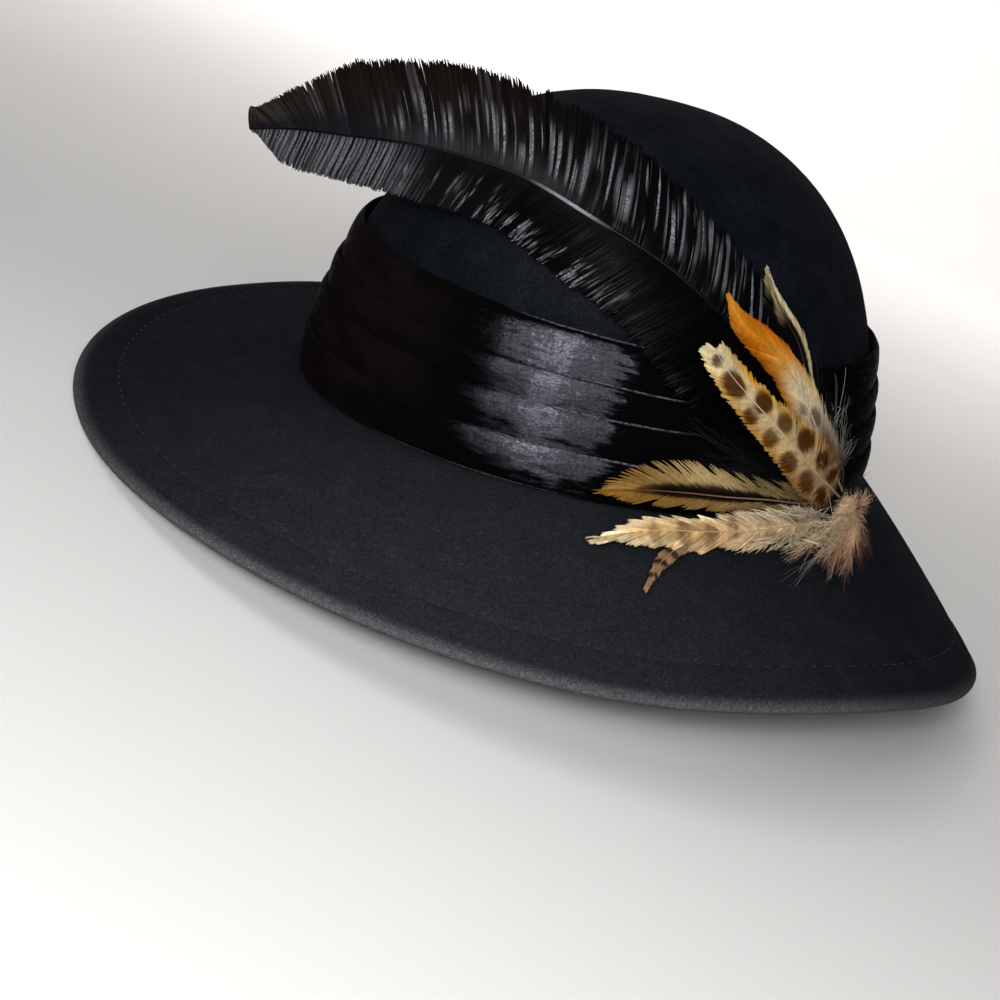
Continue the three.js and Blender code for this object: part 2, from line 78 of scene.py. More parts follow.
# Painted highlights where light falls square on the felt, and an even paleness of the brim: how
# much, and where. A place is a span and its soft ends, in degrees round the hat or in millimetres
# up the crown.
EDGE_HIGHLIGHT = 0.9
CROWN_HIGHLIGHT = 0.05
CROWN_HIGHLIGHT_TURN = ((272, 318), 16)
CROWN_HIGHLIGHT_UP = ((44, 60), 8)
BRIM_PALENESS = 0.008
FRONT_HIGHLIGHT = 0.15
FRONT_TURN = 284

# Satin band
BAND_BOTTOM = 0.4
BAND_HEIGHT = 44.6
BAND_TILT_SIDE = -3.8  # how much higher the band stands towards +X, and towards the back
BAND_TILT_BACK = 2.8
BAND_RADIUS = 94  # of the round that gives the strip its flat length
BAND_COLUMNS = 360
FOLD_TOPS = [1, 0.73, 0.53, 0.28]  # tops of the folds, as shares of the band's height
FOLD_DEPTH = 9.0  # how far apart two folds lie in the pattern of their looseness
MIDDLE_SWAY = 0.55  # how far the top of a fold between two others wanders up and down
OUTER_SWAY = 0.2
HEM_LIP = 1.6  # distance off the crown of the last fold's bottom edge
SATIN = 0.2  # thickness of the cloth

# Spans of degrees round the band, with their soft ends: where light skims the rolled edges of the
# folds and the bottom edge, where a brown dusk lies beside the streak, and where painted shade ends it
LIT_LIPS = ((282, 313), 6)
LIT_HEM = ((262, 294), 8)
DUSK = ((222, 262), 14)
SHADED_SPAN = ((302, 350), 5)

# Feathers: the rows of a shaft from its quill to its tip. turn: degrees round the crown. up: height
# on its wall, and out: distance off it. left, right: widths of the vane on either side. roll: degrees
# by which the vane is turned out of the wall.
ROW = ("turn", "up", "out", "left", "right", "roll")
PAD = {"turn": 348, "up": 3.8, "out": 7.05, "half_length": 6, "half_height": 3.2, "thickness": 5}
PAD_COLUMNS = 48
QUILL = 0.6  # half width of the vane's table at the quill
QUILL_GAP = 0.6  # between the pad and the ends of the quills
CROWN_ROUND = 1.85  # millimetres to a degree round the crown at the pad


def quill_end(bearing, out):
    """First row of a feather, beside the pad: 90 is up the crown, 180 towards the front."""
    a = math.radians(bearing)
    return (
        PAD["turn"] + (PAD["half_length"] + QUILL_GAP) * math.cos(a) / CROWN_ROUND,
        PAD["up"] + (PAD["half_height"] + QUILL_GAP) * math.sin(a),
        out, QUILL, QUILL, 0,
    )


SHAFTS = {
    "plume": [
        quill_end(98, 5.2),
        (344, 16, 5.8, 5, 4, 0),
        (339, 24, 6.4, 12, 7, 0),
        (332, 33, 6.8, 17, 8.5, -1),
        (325, 40, 7.1, 19, 10, -2),
        (317, 47, 7.5, 19, 12.5, -3),
        (303, 57, 8, 17, 15, -10),
        (287, 63, 8.8, 16, 19, -19),
        (270, 66, 12, 13.5, 19, -28),
        (252, 63, 18, 13.5, 19.3, -36),
        (238, 56, 28, 11.5, 16.8, -40),
        (232, 52, 35, 10.4, 11, -40),
        (229.3, 49.5, 39, 8, 8, -40),
        (227, 47, 43, 0.4, 5.5, -40),
    ],
    "spotted_feather": [
        quill_end(128, 8.6),
        (341.5, 10, 10, 5, 4, 0),
        (337, 13.5, 11.2, 6.8, 7.2, 0),
        (329.6, 21.3, 11.8, 7, 8.4, 0),
        (322.2, 29.1, 12, 6, 6, 0),
        (315.5, 36.4, 12, 5.2, 5, 0),
        (312.2, 40.9, 12, 4.4, 4.2, 0),
    ],
    "orange_feather": [
        quill_end(92, 7.5),
        (342.5, 14, 9, 3, 3, 0),
        (336.4, 22.7, 10.2, 4.5, 4.5, 0),
        (332, 31.2, 10.4, 5.6, 5.6, 0),
        (328.5, 37, 10.4, 5.6, 5.6, 0),
        (324.3, 42, 10.4, 4.8, 4.8, 0),
        (320.6, 45.2, 10.4, 4.4, 4.4, 0),
        (317, 48.3, 10.4, 3.4, 3.4, 0),
        (314.3, 53.3, 10.4, 0.3, 0.3, 0),
    ],
    "edged_feather": [
        quill_end(76, 6.4),
        (346.5, 14, 7.4, 2.5, 2.5, 0),
        (340, 21, 8.6, 4, 3.4, 0),
        (334.8, 30, 9, 4.6, 3.4, 0),
        (331.8, 39, 9, 5, 3.6, 0),
        (329.6, 45.5, 9, 5, 4.4, 0),
        (326.6, 50.5, 9, 4.4, 4, 0),
        (323.9, 55, 9.6, 3, 2.4, 0),
        (322, 60, 10.4, 0.3, 0.3, 0),
    ],
    "golden_feather": [
        quill_end(160, 6.4),
        (336.3, 6, 7.8, 4, 3.5, 0),
        (329, 7.2, 8, 4.4, 4.6, 0),
        (321, 7.5, 8, 4.4, 6.5, 0),
        (314, 7.6, 8, 4.6, 8.4, 0),
        (307.6, 7, 8, 4.2, 7.2, 0),
        (303, 5.8, 8, 2.8, 4.5, 0),
        (300.3, 4.4, 8, 0.3, 0.3, 0),
    ],
    "cream_feather": [
        quill_end(182, 7.8),
        (340, 2, 9.4, 3.4, 3, 5),
        (331.5, 0.9, 11, 4.6, 4.6, 20),
        (322.8, 0, 12.4, 5.2, 5, 38),
        (315.7, -0.4, 13.4, 5.4, 5.2, 45),
        (309.2, -1, 14.8, 4.6, 4.4, 45),
        (304.4, -2.3, 17.2, 3.4, 3.2, 45),
        (299.5, -4.3, 21.8, 0.3, 0.3, 45),
    ],
    "barred_feather": [
        quill_end(205, 5.2),
        (333.7, 0.6, 5.8, 1.6, 1.6, 30),
        (324.9, -0.5, 7, 2, 2, 50),
        (317.6, -1.9, 10, 2, 2, 60),
        (314.4, -3.3, 13.4, 2.1, 2.1, 60),
        (309.5, -6.4, 20.4, 2, 2, 60),
        (305.8, -11.4, 31.5, 0.4, 0.4, 60),
    ],
}

# How a feather's barbs lie, in millimetres; pairs without a note are for its left and right.
# bare: quill without barbs. wide: share of the shaft's table that the barbs reach. sweep: how far a
# barb's tip lies ahead of its root, and beyond: the same at the feather's tip. round: length over
# which the tip is rounded off. clump: width of the locks that barbs cling in. cling: how far they
# close up, at the quill and the tip. slope: how steeply each vane falls away from the shaft, at the
# quill and the tip. curl: how far the tips of its barbs then bend off the wall. ragged: share by
# which lengths differ, and wave: wander of the barbs, both at the quill and the tip. under: share
# of the length that the lower layer has. barb: half widths of a barb at its root and tip. stray: how
# far the downy barbs at the quill stand apart. stations: points along a barb. shaft: half widths of
# the shaft at the quill and the tip. twist: turn of the barbs in radians. loft: how far locks stand
# off. trim: 1 for a side whose barbs keep their slant at the tip and are cut short there. USUAL is
# what most feathers have.
USUAL = dict(wide=(1, 1), beyond=(0.4, 0.4), round=(0, 0), slope=((0.1, 0.1), (0.1, 0.1)),
             curl=(-0.6, -0.6), stray=2, stations=9, twist=0.3, loft=0.15, trim=(0, 0))
BARBS = {
    "plume": dict(USUAL, bare=9, pitch=0.42, wide=(1.1, 1.2), sweep=(8, 9.5), beyond=(0, 2.2),
                  clump=2.8, cling=(0.34, 0.14), slope=((0.02, 0.16), (0.05, 0.1)),
                  curl=(-2.0, -2.4), ragged=(0.08, 0.05), under=0.975, barb=(0.36, 0.26),
                  wave=(0.5, 0.1), stray=1.5, stations=10, shaft=(0.95, 0.22), twist=0.22,
                  loft=0.1, trim=(1, 0), seed=14),
    "spotted_feather": dict(USUAL, bare=5, pitch=0.3, sweep=(5.5, 5.5), beyond=(2.6, -0.4),
                            round=(0.5, 0.5), clump=2.2, cling=(0.25, 0.5),
                            slope=((0.05, 0.05), (0.05, 0.05)), ragged=(0.12, 0.3), under=0.93,
                            barb=(0.24, 0.14), wave=(0.7, 0.05), stations=8, shaft=(0.42, 0.08),
                            twist=0.25, seed=21),
    "orange_feather": dict(USUAL, bare=5, pitch=0.27, wide=(1, 1.08), sweep=(10, 11), clump=3,
                           cling=(0.25, 0.3), slope=((0.12, 0.12), (0.12, 0.12)),
                           ragged=(0.12, 0.1), under=0.9, barb=(0.23, 0.08), wave=(0.9, 0.06),
                           shaft=(0.35, 0.1), twist=0.2, seed=31),
    "edged_feather": dict(USUAL, bare=6, pitch=0.28, wide=(1.3, 1.05), sweep=(7, 8), clump=2.2,
                          cling=(0.45, 0.4), curl=(-0.4, -0.4), ragged=(0.3, 0.14), under=0.88,
                          barb=(0.2, 0.08), wave=(0.7, 0.1), stray=1.5, stations=8,
                          shaft=(0.35, 0.12), loft=0.1, seed=41),
    "golden_feather": dict(USUAL, bare=6, pitch=0.38, wide=(1.05, 1.1), sweep=(8, 10.5), clump=8,
                           cling=(0.7, 0.3), slope=((0.08, 0.08), (0.08, 0.08)),
                           curl=(-0.6, -0.4), ragged=(0.35, 0.15), under=0.55, barb=(0.22, 0.08),
                           wave=(0.8, 0.05), shaft=(0.34, 0.1), twist=0.25, loft=0.3, seed=51),
    "cream_feather": dict(USUAL, bare=5, pitch=0.27, wide=(1.1, 1.1), sweep=(9, 9), clump=5,
                          cling=(0.8, 0.9), curl=(-0.7, -0.7), ragged=(0.35, 0.25), under=0.85,
                          barb=(0.2, 0.08), wave=(2.6, 0.3), stray=6, shaft=(0.22, 0.08),
                          loft=1.2, seed=61),
    "barred_feather": dict(USUAL, bare=7, pitch=0.27, wide=(1.15, 1.15), sweep=(5.5, 5.5),
                           clump=1.7, cling=(0.6, 0.6), curl=(-0.3, -0.3), ragged=(0.3, 0.3),
                           under=0.9, barb=(0.18, 0.08), wave=(0.6, 0.06), stray=1, stations=7,
                           shaft=(0.28, 0.1), loft=0.25, seed=71),
}
# The lower layer of barbs: how much further apart and thicker they are, how far they lie below the
# others, and how much darker they are
UNDER = {"pitch": 0.7, "thick": 1.2, "drop": 0.3, "dark": 0.8}
DOWNY = (0.12, 0.5)  # shares of a shaft between which its barbs pass from down to a closed vane
MOST_LOCKS = 400  # on one side of a feather
LOCK_VARIETY = 0.35  # share by which the widths of locks differ
KNOT_STEPS = 40  # points of a shaft's line from one of its rows to the next
SHAFT_STATIONS = 60  # points of a shaft that is swept
TRIM_END = 12  # how far before the tip the width of a trimmed side is last read
TRIM_STEPS = 160  # places along a barb where it may meet the outline

# Colours of each feather. inner: along the shaft, from the quill to the tip. left, right: along the
# outer edge on that side. edge: shares of the width between which inner passes into the outer
# colour. shaft: quill and tip of the shaft. tone: how far barbs differ in brightness. gain: times
# as bright as the chart colours.
PAINT = {
    "plume": dict(
        inner=[(0, "#050506"), (0.6, "#08080b"), (0.85, "#1a1b20"), (1, "#201f24")],
        left=[(0, "#050506"), (0.62, "#08080a"), (0.75, "#1c1a1e"), (1, "#3a373d")],
        right=[(0, "#060608"), (0.55, "#0a0a0e"), (0.72, "#1e1815"), (1, "#2a211d")],
        # The plume's shaft has a painted highlight, a narrow bright line a little past its middle
        edge=(0.15, 0.6), shaft=[(0, "#08090b"), (0.5, "#0c0d11"), (0.54, "#b4bbc2"),
                                 (0.575, "#9ba2a9"), (0.61, "#30343a"), (0.8, "#141318"),
                                 (1, "#1a1517")], tone=0.3),
    "spotted_feather": dict(
        inner=[(0, "#7d5a40"), (0.2, "#b48a5c"), (0.45, "#dcb77c"), (0.8, "#ecd095"),
               (1, "#f5e6bc")],
        left=[(0, "#7a5336"), (0.3, "#b67c2c"), (0.7, "#cf9230"), (0.9, "#dfae4a"),
              (1, "#f5e4b4")],
        right=[(0, "#7a5336"), (0.3, "#b47f38"), (0.45, "#cf9c4a"), (0.68, "#e2a52a"),
               (0.85, "#f0aa1c"), (1, "#f3dfa4")],
        edge=(0.4, 0.8), shaft=[(0, "#c9a07c"), (0.5, "#efd9bd"), (1, "#f5e8cd")], tone=0.14),
    "orange_feather": dict(
        inner=[(0, "#6b4a33"), (0.34, "#8a6548"), (0.42, "#e6d6b8"), (0.6, "#f3dfb0"),
               (0.68, "#eaa845"), (0.8, "#e5891a"), (1, "#f5a42e")],
        left=[(0, "#6b4a33"), (0.4, "#e6dac4"), (0.55, "#dc9430"), (0.66, "#a85606"),
              (0.85, "#b96309"), (1, "#f5a636")],
        right=[(0, "#6b4a33"), (0.4, "#eee2cc"), (0.55, "#eec27a"), (0.7, "#de7c10"),
               (0.85, "#cf6c0e"), (1, "#f3a230")],
        edge=(0.3, 1), shaft=[(0, "#b9936c"), (0.5, "#ecd9b6"), (0.75, "#e39a38"),
                              (1, "#e08a20")], tone=0.16),
    "edged_feather": dict(
        inner=[(0, "#1a1512"), (0.8, "#0f0d0c"), (0.9, "#b5a178"), (1, "#f5e3b8")],
        left=[(0, "#1a1512"), (0.9, "#110f0e"), (0.97, "#b0a27a"), (1, "#e0d4a6")],
        right=[(0, "#3a3228"), (0.3, "#a8946c"), (0.6, "#e6cf9e"), (1, "#f5e3b8")],
        edge=(0.4, 0.56), shaft=[(0, "#2a2019"), (1, "#14100e")], tone=0.2),
    "golden_feather": dict(
        inner=[(0, "#6e4c3a"), (0.25, "#2e1d13"), (0.4, "#150d08"), (0.8, "#1c110a"),
               (0.95, "#8a5f28"), (1, "#9a6c2c")],
        left=[(0, "#b0906c"), (0.3, "#b3996e"), (0.5, "#a18252"), (0.85, "#a07634"),
              (1, "#a87830")],
        right=[(0, "#8f7050"), (0.35, "#b39c6c"), (0.65, "#c4aa76"), (0.85, "#a9844a"),
               (1, "#a27634")],
        edge=(0.22, 0.42), shaft=[(0, "#a5836b"), (0.5, "#a88d76"), (0.85, "#6b4c33"),
                                 (1, "#7a5528")], tone=0.2),
    "cream_feather": dict(
        inner=[(0, "#f5dcb8"), (0.3, "#ecd0a8"), (0.6, "#cba473"), (0.85, "#e6c084"),
               (1, "#f8dfaa")],
        left=[(0, "#fff0d6"), (0.35, "#f8e2c0"), (0.6, "#e8c490"), (1, "#fde6ba")],
        right=[(0, "#fff2dc"), (0.35, "#fae6c6"), (0.6, "#f2d6a6"), (1, "#fde6ba")],
        edge=(0.25, 0.8), shaft=[(0, "#d9c6a8"), (0.5, "#e8d8b4"), (1, "#f0e0b0")], tone=0.3,
        gain=1.45),
    "barred_feather": dict(
        inner=[(0, "#b08c68"), (1, "#c2966c")],
        left=[(0, "#b8977a"), (1, "#d0a680")],
        right=[(0, "#b8977a"), (1, "#d0a680")],
        edge=(0.3, 1), shaft=[(0, "#a8876a"), (1, "#c79f7c")], tone=0.14),
}

# Sheen on the plume: side (1 is left), distance along the shaft and share of the barb's length
# between which it shows, its strength, its pattern, and the distance between its strands
SHEEN = ("side", "along", "share", "strength", "pattern", "pitch")
PLUME_SHEEN = [
    (-1, (118, 172), (-0.1, 0.2), 0.026, "even", 1),
    (-1, (52, 118), (-0.1, 0.1), 0.07, "strands", 0.7),
    (-1, (112, 172), (0.16, 0.6), 0.55, "strands", 2.4),
    (-1, (82, 118), (0.22, 0.88), 0.46, "strands", 2.9),
    (-1, (44, 88), (0.26, 0.92), 0.38, "strands", 3.6),
    (-1, (150, 206), (0.35, 1.1), 0.065, "streaks", 1),
    (-1, (203, 225), (0.3, 1.1), 0.035, "fine", 1.35),
    (1, (168, 230), (0.02, 1.1), 0.3, "fine", 1.35),
    (1, (142, 172), (0.35, 0.95), 0.5, "broken", 1),
    (1, (96, 146), (0.66, 1.1), 0.75, "broken", 1),
    (1, (60, 100), (0.85, 1.1), 0.05, "broken", 1),
]
SOFT_ALONG, SOFT_SHARE = 9, 0.1  # how gently a sheen begins and ends, both ways

# Marks on a feather: their colour, the strength of the pale ring round each, and a row for each
# mark. along is the distance from the quill, across is to the left of the shaft, long and wide are
# the half sizes, all in millimetres, and deep is how much of the colour shows.
MARK = ("along", "across", "long", "wide", "deep")
MARKS = {
    "spotted_feather": ("#5a2500", 0.35, [
        (68.3, 0.9, 2.0, 1.6, 0.9),
        (60.8, 0.9, 4.6, 3.0, 0.95),
        (51.3, 2.7, 2.7, 2.6, 0.9),
        (50.6, -2.1, 3.6, 2.9, 0.95),
        (42.3, 3.1, 3.0, 2.6, 0.8),
        (41.2, -2.6, 3.2, 2.7, 0.85),
        (32.5, 3.8, 3.6, 3.0, 0.85),
        (31.4, -3.9, 3.9, 3.5, 0.95),
        (22.6, 3.7, 3.6, 2.9, 0.8),
        (21.0, -4.0, 3.6, 3.0, 0.9),
        (13.4, 3.6, 3.4, 2.6, 0.85),
        (12.3, -2.8, 3.2, 2.4, 0.85),
    ]),
    "orange_feather": ("#3f2416", 0, [
        (33.5, -1.2, 3.4, 2.2, 0.8),
        (38.5, 1.8, 2.0, 1.2, 0.6),
    ]),
    "cream_feather": ("#7b5835", 0, [
        (68.0, 0.6, 1.7, 4, 0.5),
        (59.4, 0.4, 2.2, 4, 0.7),
        (50.6, 0.4, 2.2, 4.5, 0.6),
        (43.6, -1.6, 2.0, 3.5, 0.6),
        (30.0, 2.2, 3.2, 2.4, 0.4),
    ]),
    "barred_feather": ("#24170f", 0, [
        (76.5, 0, 1.1, 5, 0.9),
        (70.5, 0, 1.2, 5, 0.95),
        (64.5, 0, 1.3, 5, 0.9),
        (58.0, 0, 1.3, 5, 0.8),
    ]),
}
HALO = "#f3dfae"  # the pale ring round a mark
# In shares of a mark's half sizes: where its colour ends, where its dark middle ends, and where the
# ring lies, with how soft the ring is
MARK_EDGE, MARK_CORE = (0.75, 1.15), (0.2, 1.0)
MARK_RING = ((1.1, 1.5), 0.15)

# Down, one row for each lock from the pad out to its tip: place of the tip, number of its hairs,
# how far it spreads, in millimetres, and the colours of its hairs at the root and at the tip
LOCK = ("turn", "up", "out", "hairs", "spread", "root", "tip")
DARK_DOWN = [
    (314, 29, 4.2, 220, 3.2, "#050506", "#121214"),
    (314.5, 22, 4.4, 240, 3.4, "#050506", "#161618"),
    (317, 15, 4.4, 240, 3.2, "#060607", "#242428"),
    (325, 11, 4.4, 200, 2.8, "#060607", "#2a2a2f"),
    (320, 27, 4.2, 200, 3.2, "#050506", "#121214"),
    (326, 29, 4.2, 160, 2.8, "#050506", "#121214"),
    (328, 5, 4.4, 120, 2.4, "#060607", "#26262a"),
    (344, 37, 5.6, 20, 0.5, "#1a1a1c", "#a9aaa7"),
    (349.4, 32, 5.6, 24, 0.6, "#1a1a1c", "#a5a6a3"),
    (351.4, 20, 5.4, 40, 1.4, "#141416", "#8a8b89"),
    (341.0, 26, 5.4, 30, 1.2, "#0c0c0e", "#565756"),
    (363, 7, 4.4, 160, 2.6, "#0a0a0b", "#1d1816"),
    (361, 1.5, 4.4, 140, 2.2, "#0a0a0b", "#1d1816"),
]
BEIGE_DOWN = [
    (338.2, -8.2, 24, 190, 2.0, "#dcb28e", "#a8826a"),
    (336, -7.4, 22.5, 150, 2.2, "#e6be98", "#a8826a"),
    (341.2, -5.6, 19.5, 320, 3.0, "#e6c4a4", "#cda483"),
    (342.6, -8.4, 23.6, 120, 2.0, "#a07c62", "#33281f"),
    (346.6, -7.7, 21.4, 150, 2.2, "#7d604c", "#241d1a"),
    (336, -4.2, 18.2, 240, 2.8, "#f0d0aa", "#dcb68e"),
    (331, -3.2, 16.8, 200, 3.0, "#f3dabb", "#e0c3a0"),
    (328.2, -7.5, 25.7, 36, 1.0, "#c8baa4", "#7c7874"),
    (341.2, -2.8, 14.7, 300, 3.0, "#f0cfa8", "#e8c096"),
    (344.7, 7, 12, 240, 2.8, "#c49c7a", "#d8b594"),
    (350.2, 7.9, 11, 150, 2.4, "#5e4738", "#241e1b"),
    (357, -1.5, 10.5, 150, 2.4, "#4a3a30", "#1a1715"),
    (342.3, 4.2, 12, 320, 3.4, "#e6bc90", "#f2d2aa"),
]
PUFF = {"hairs": 420, "length": 3.0, "root": "#c29a78", "tip": "#e0c0a0"}
DARK_DOWN_OUT = 3.85  # how far off the crown the locks start
BEIGE_DOWN_OUT = PAD["out"] + PAD["thickness"] / 2 + 2.5
HAIR_RADIUS = 0.065
HAIR_TAPER = 0.6  # share of its radius that a hair loses
HAIR_STATIONS = 8  # points along a hair
SHORT_HAIRS = 0.4  # share of the hairs that are short and stand out
SHORT_REACH, LONG_REACH = 0.2, 0.5  # shares of a lock's length that its hairs cover
GLINTING_HAIRS = 0.3  # share of the hairs that catch the light

SHADE = 0.5  # share of the light on a chart colour that loose barbs give back
DOWN_SHADE = 0.85  # the same for down
CIRCLE = 6.28  # radians, from which phases are drawn


# Shape of the hat, for arrays of places

def unit(vectors):
    """Vectors cut or stretched to length 1."""
    return vectors / np.linalg.norm(vectors, axis=-1, keepdims=True)


def narrowing(t):
    """Share of the base's size that the crown keeps at a share t of its height."""
    return (1 - t ** CROWN_SQUARENESS) ** (1 / CROWN_SQUARENESS) * (1 - CROWN_TAPER * t)


def on_crown(turn, up, out=0.0):
    """Points off the crown's wall, in the crown's own frame, and the wall's normals."""
    turn, up, out = np.broadcast_arrays(*(np.asarray(v, float) for v in (turn, up, out)))
    a = np.radians(turn)
    t = np.clip(up / CROWN_HEIGHT, 0, 0.9999)
    low, high = np.maximum(t - 1e-4, 0), np.minimum(t + 1e-4, 1)
    slope = (narrowing(high) - narrowing(low)) / ((high - low) * CROWN_HEIGHT)
    normal = unit(np.stack([
        CROWN_HALF_LENGTH * np.cos(a),
        CROWN_HALF_WIDTH * np.sin(a),
        -CROWN_HALF_LENGTH * CROWN_HALF_WIDTH * slope,
    ], -1))
    wall = np.stack([
        CROWN_HALF_WIDTH * narrowing(t) * np.cos(a),
        CROWN_HALF_LENGTH * narrowing(t) * np.sin(a),
        up,
    ], -1)
    return wall + out[..., None] * normal, normal


LEAN = np.array(
    Matrix.Rotation(-CROWN_LEAN_SIDE, 3, "Y") @ Matrix.Rotation(CROWN_LEAN_FRONT, 3, "X")
)


def turned(vectors):
    """Directions from the crown's frame to the hat's."""
    return vectors @ LEAN.T


def leaned(points):
    """Points from the crown's frame to the hat's."""
    return turned(points) + CROWN_BASE


def brim_at(column, turn):
    """Value of a column of the brim's table at any turn, on a smooth closed curve."""
    table = np.array(BRIM[column], float)
    place = np.mod(turn, 360) * len(table) / 360
    index = np.floor(place).astype(int)
    f = place - index
    a, b, c, d = (table[(index + k) % len(table)] for k in (-1, 0, 1, 2))
    return 0.5 * (2 * b + (c - a) * f + (2 * a - 5 * b + 4 * c - d) * f ** 2
                  + (3 * b - a - 3 * c + d) * f ** 3)


def brim_top(turn, u):
    """Upper face of the brim: u is 0 at the crown and 1 at the edge."""
    a = np.radians(turn)
    base = leaned(on_crown(turn, 0)[0])
    level = unit(np.stack([np.cos(a) / CROWN_HALF_WIDTH, np.sin(a) / CROWN_HALF_LENGTH], -1))
    level = level * ((brim_at("reach", turn) - FELT) * u)[..., None]
    edge = brim_at("rise", turn) + FELT
    height = base[..., 2] + (edge - base[..., 2]) * u ** BRIM_CURL
    return np.concatenate([base[..., :2] + level, height[..., None]], -1)


def brim_point(turn, u, depth, beyond=0.0):
    """Point below the brim's upper face and beyond it, flattened where it lies on the floor."""
    turn, u = np.broadcast_arrays(np.asarray(turn, float), np.asarray(u, float))
    step = 0.01
    outward = unit(brim_top(turn, np.clip(u + step, 0, 1)) - brim_top(turn, np.clip(u - step, 0, 1)))
    forward = brim_top(turn + step, u) - brim_top(turn - step, u)
    upward = unit(np.cross(outward, forward))
    point = brim_top(turn, u) - upward * depth + outward * beyond
    point[..., 2] = np.maximum(point[..., 2], 0)
    return point


# Meshes

def show(mesh, name):
    """A mesh as an object of the scene."""
    made = bpy.data.objects.new(name, mesh)
    bpy.context.scene.collection.objects.link(made)
    return made


def mesh_from(name, points, faces, look):
    """Smooth mesh of points in millimetres."""
    mesh = bpy.data.meshes.new(name)
    mesh.from_pydata((np.asarray(points) * MM).tolist(), [], faces)
    mesh.materials.append(look)
    mesh.shade_smooth()
    return mesh


# How values are kept that aren't plain numbers
KINDS = {"facing": ("FLOAT_VECTOR", "vector"), "colour": ("FLOAT_COLOR", "color")}


def keep(mesh, key, values):
    """Keeps a value for each point of a mesh, for its material or for the tree that grows on it."""
    kind, slot = KINDS.get(key, ("FLOAT", "value"))
    layer = mesh.attributes.new(key, kind, "POINT")
    layer.data.foreach_set(slot, np.ascontiguousarray(values, np.float32).ravel())


def ring_faces(rows, columns, closed_rows=False):
    """Faces between rings of points, outwards where each ring runs anticlockwise from above."""
    last = rows if closed_rows else rows - 1
    faces = []
    for row in range(last):
        this, after = row * columns, (row + 1) % rows * columns
        for i in range(columns):
            j = (i + 1) % columns
            faces.append((this + i, after + i, after + j, this + j))
    return faces


def wander(points, size, seed):
    """Smooth random values from -1 to 1 at points in millimetres, with swells of that size."""
    shift = Vector((seed * 7.3, seed * 3.1, seed * 1.7))
    flat = points.reshape(-1, 3) / size
    values = np.array([noise.noise(Vector(p) + shift) for p in flat])
    return values.reshape(points.shape[:-1])


def eased(low, high, value):
    """Smooth step from 0 to 1 between two values."""
    f = np.clip((value - low) / (high - low), 0, 1)
    return f * f * (3 - 2 * f)


def within(span, soft, value):
    """Share from 0 to 1 that a value is inside a span, with soft ends."""
    return eased(span[0] - soft, span[0] + soft, value) * eased(-span[1] - soft, -span[1] + soft, -value)


TURNS = np.arange(COLUMNS) * 360 / COLUMNS


def crown_ring(up, out):
    """Points round the crown at one height."""
    return leaned(on_crown(TURNS, up, out)[0])


def uneven(points, seed):
    """Offsets that keep a hand-blocked surface from being perfectly even."""
    swells, ripples = wander(points, 34, seed), wander(points, 5, seed + 1)
    return 0.22 * swells + 0.05 * ripples


def crown_mesh(look):
    """Domed shell, open below: down the outside and up the inside."""
    def heights(count):
        """Heights of rows from the top down, closer together where the crown turns over."""
        angle = math.pi / 2 * (1 - (np.arange(count) + 1) / count)
        return np.maximum(CROWN_HEIGHT * np.sin(angle) ** (2 / CROWN_SQUARENESS), CROWN_FOOT)

    rings = []
    for up in heights(CROWN_ROWS):
        # The bottom edge stays even, where the brim meets it
        off = uneven(crown_ring(up, 0), seed=3) * min(1, up / 6)
        rings.append(crown_ring(up, off))
    rings += [crown_ring(up, -FELT) for up in heights(INSIDE_ROWS)[::-1]]
    top, inside = ([[0, 0, CROWN_HEIGHT - depth]] for depth in (0, FELT))
    count = len(rings) * COLUMNS
    points = np.concatenate([np.concatenate(rings), leaned(np.array(top)), leaned(np.array(inside))])
    faces = ring_faces(len(rings), COLUMNS)
    for i in range(COLUMNS):
        j = (i + 1) % COLUMNS
        faces.append((count, i, j))
        faces.append((count + 1, count - COLUMNS + j, count - COLUMNS + i))
    mesh = mesh_from("crown felt", points, faces, look)
    # Painted highlight above the band in front, where light falls square on the crown
    front = CROWN_HIGHLIGHT * within(*CROWN_HIGHLIGHT_TURN, TURNS)
    above = [*within(*CROWN_HIGHLIGHT_UP, heights(CROWN_ROWS)), *np.zeros(INSIDE_ROWS)]
    keep(mesh, "painted_light_and_paleness", [*np.outer(above, front).ravel(), 0, 0])
    return mesh


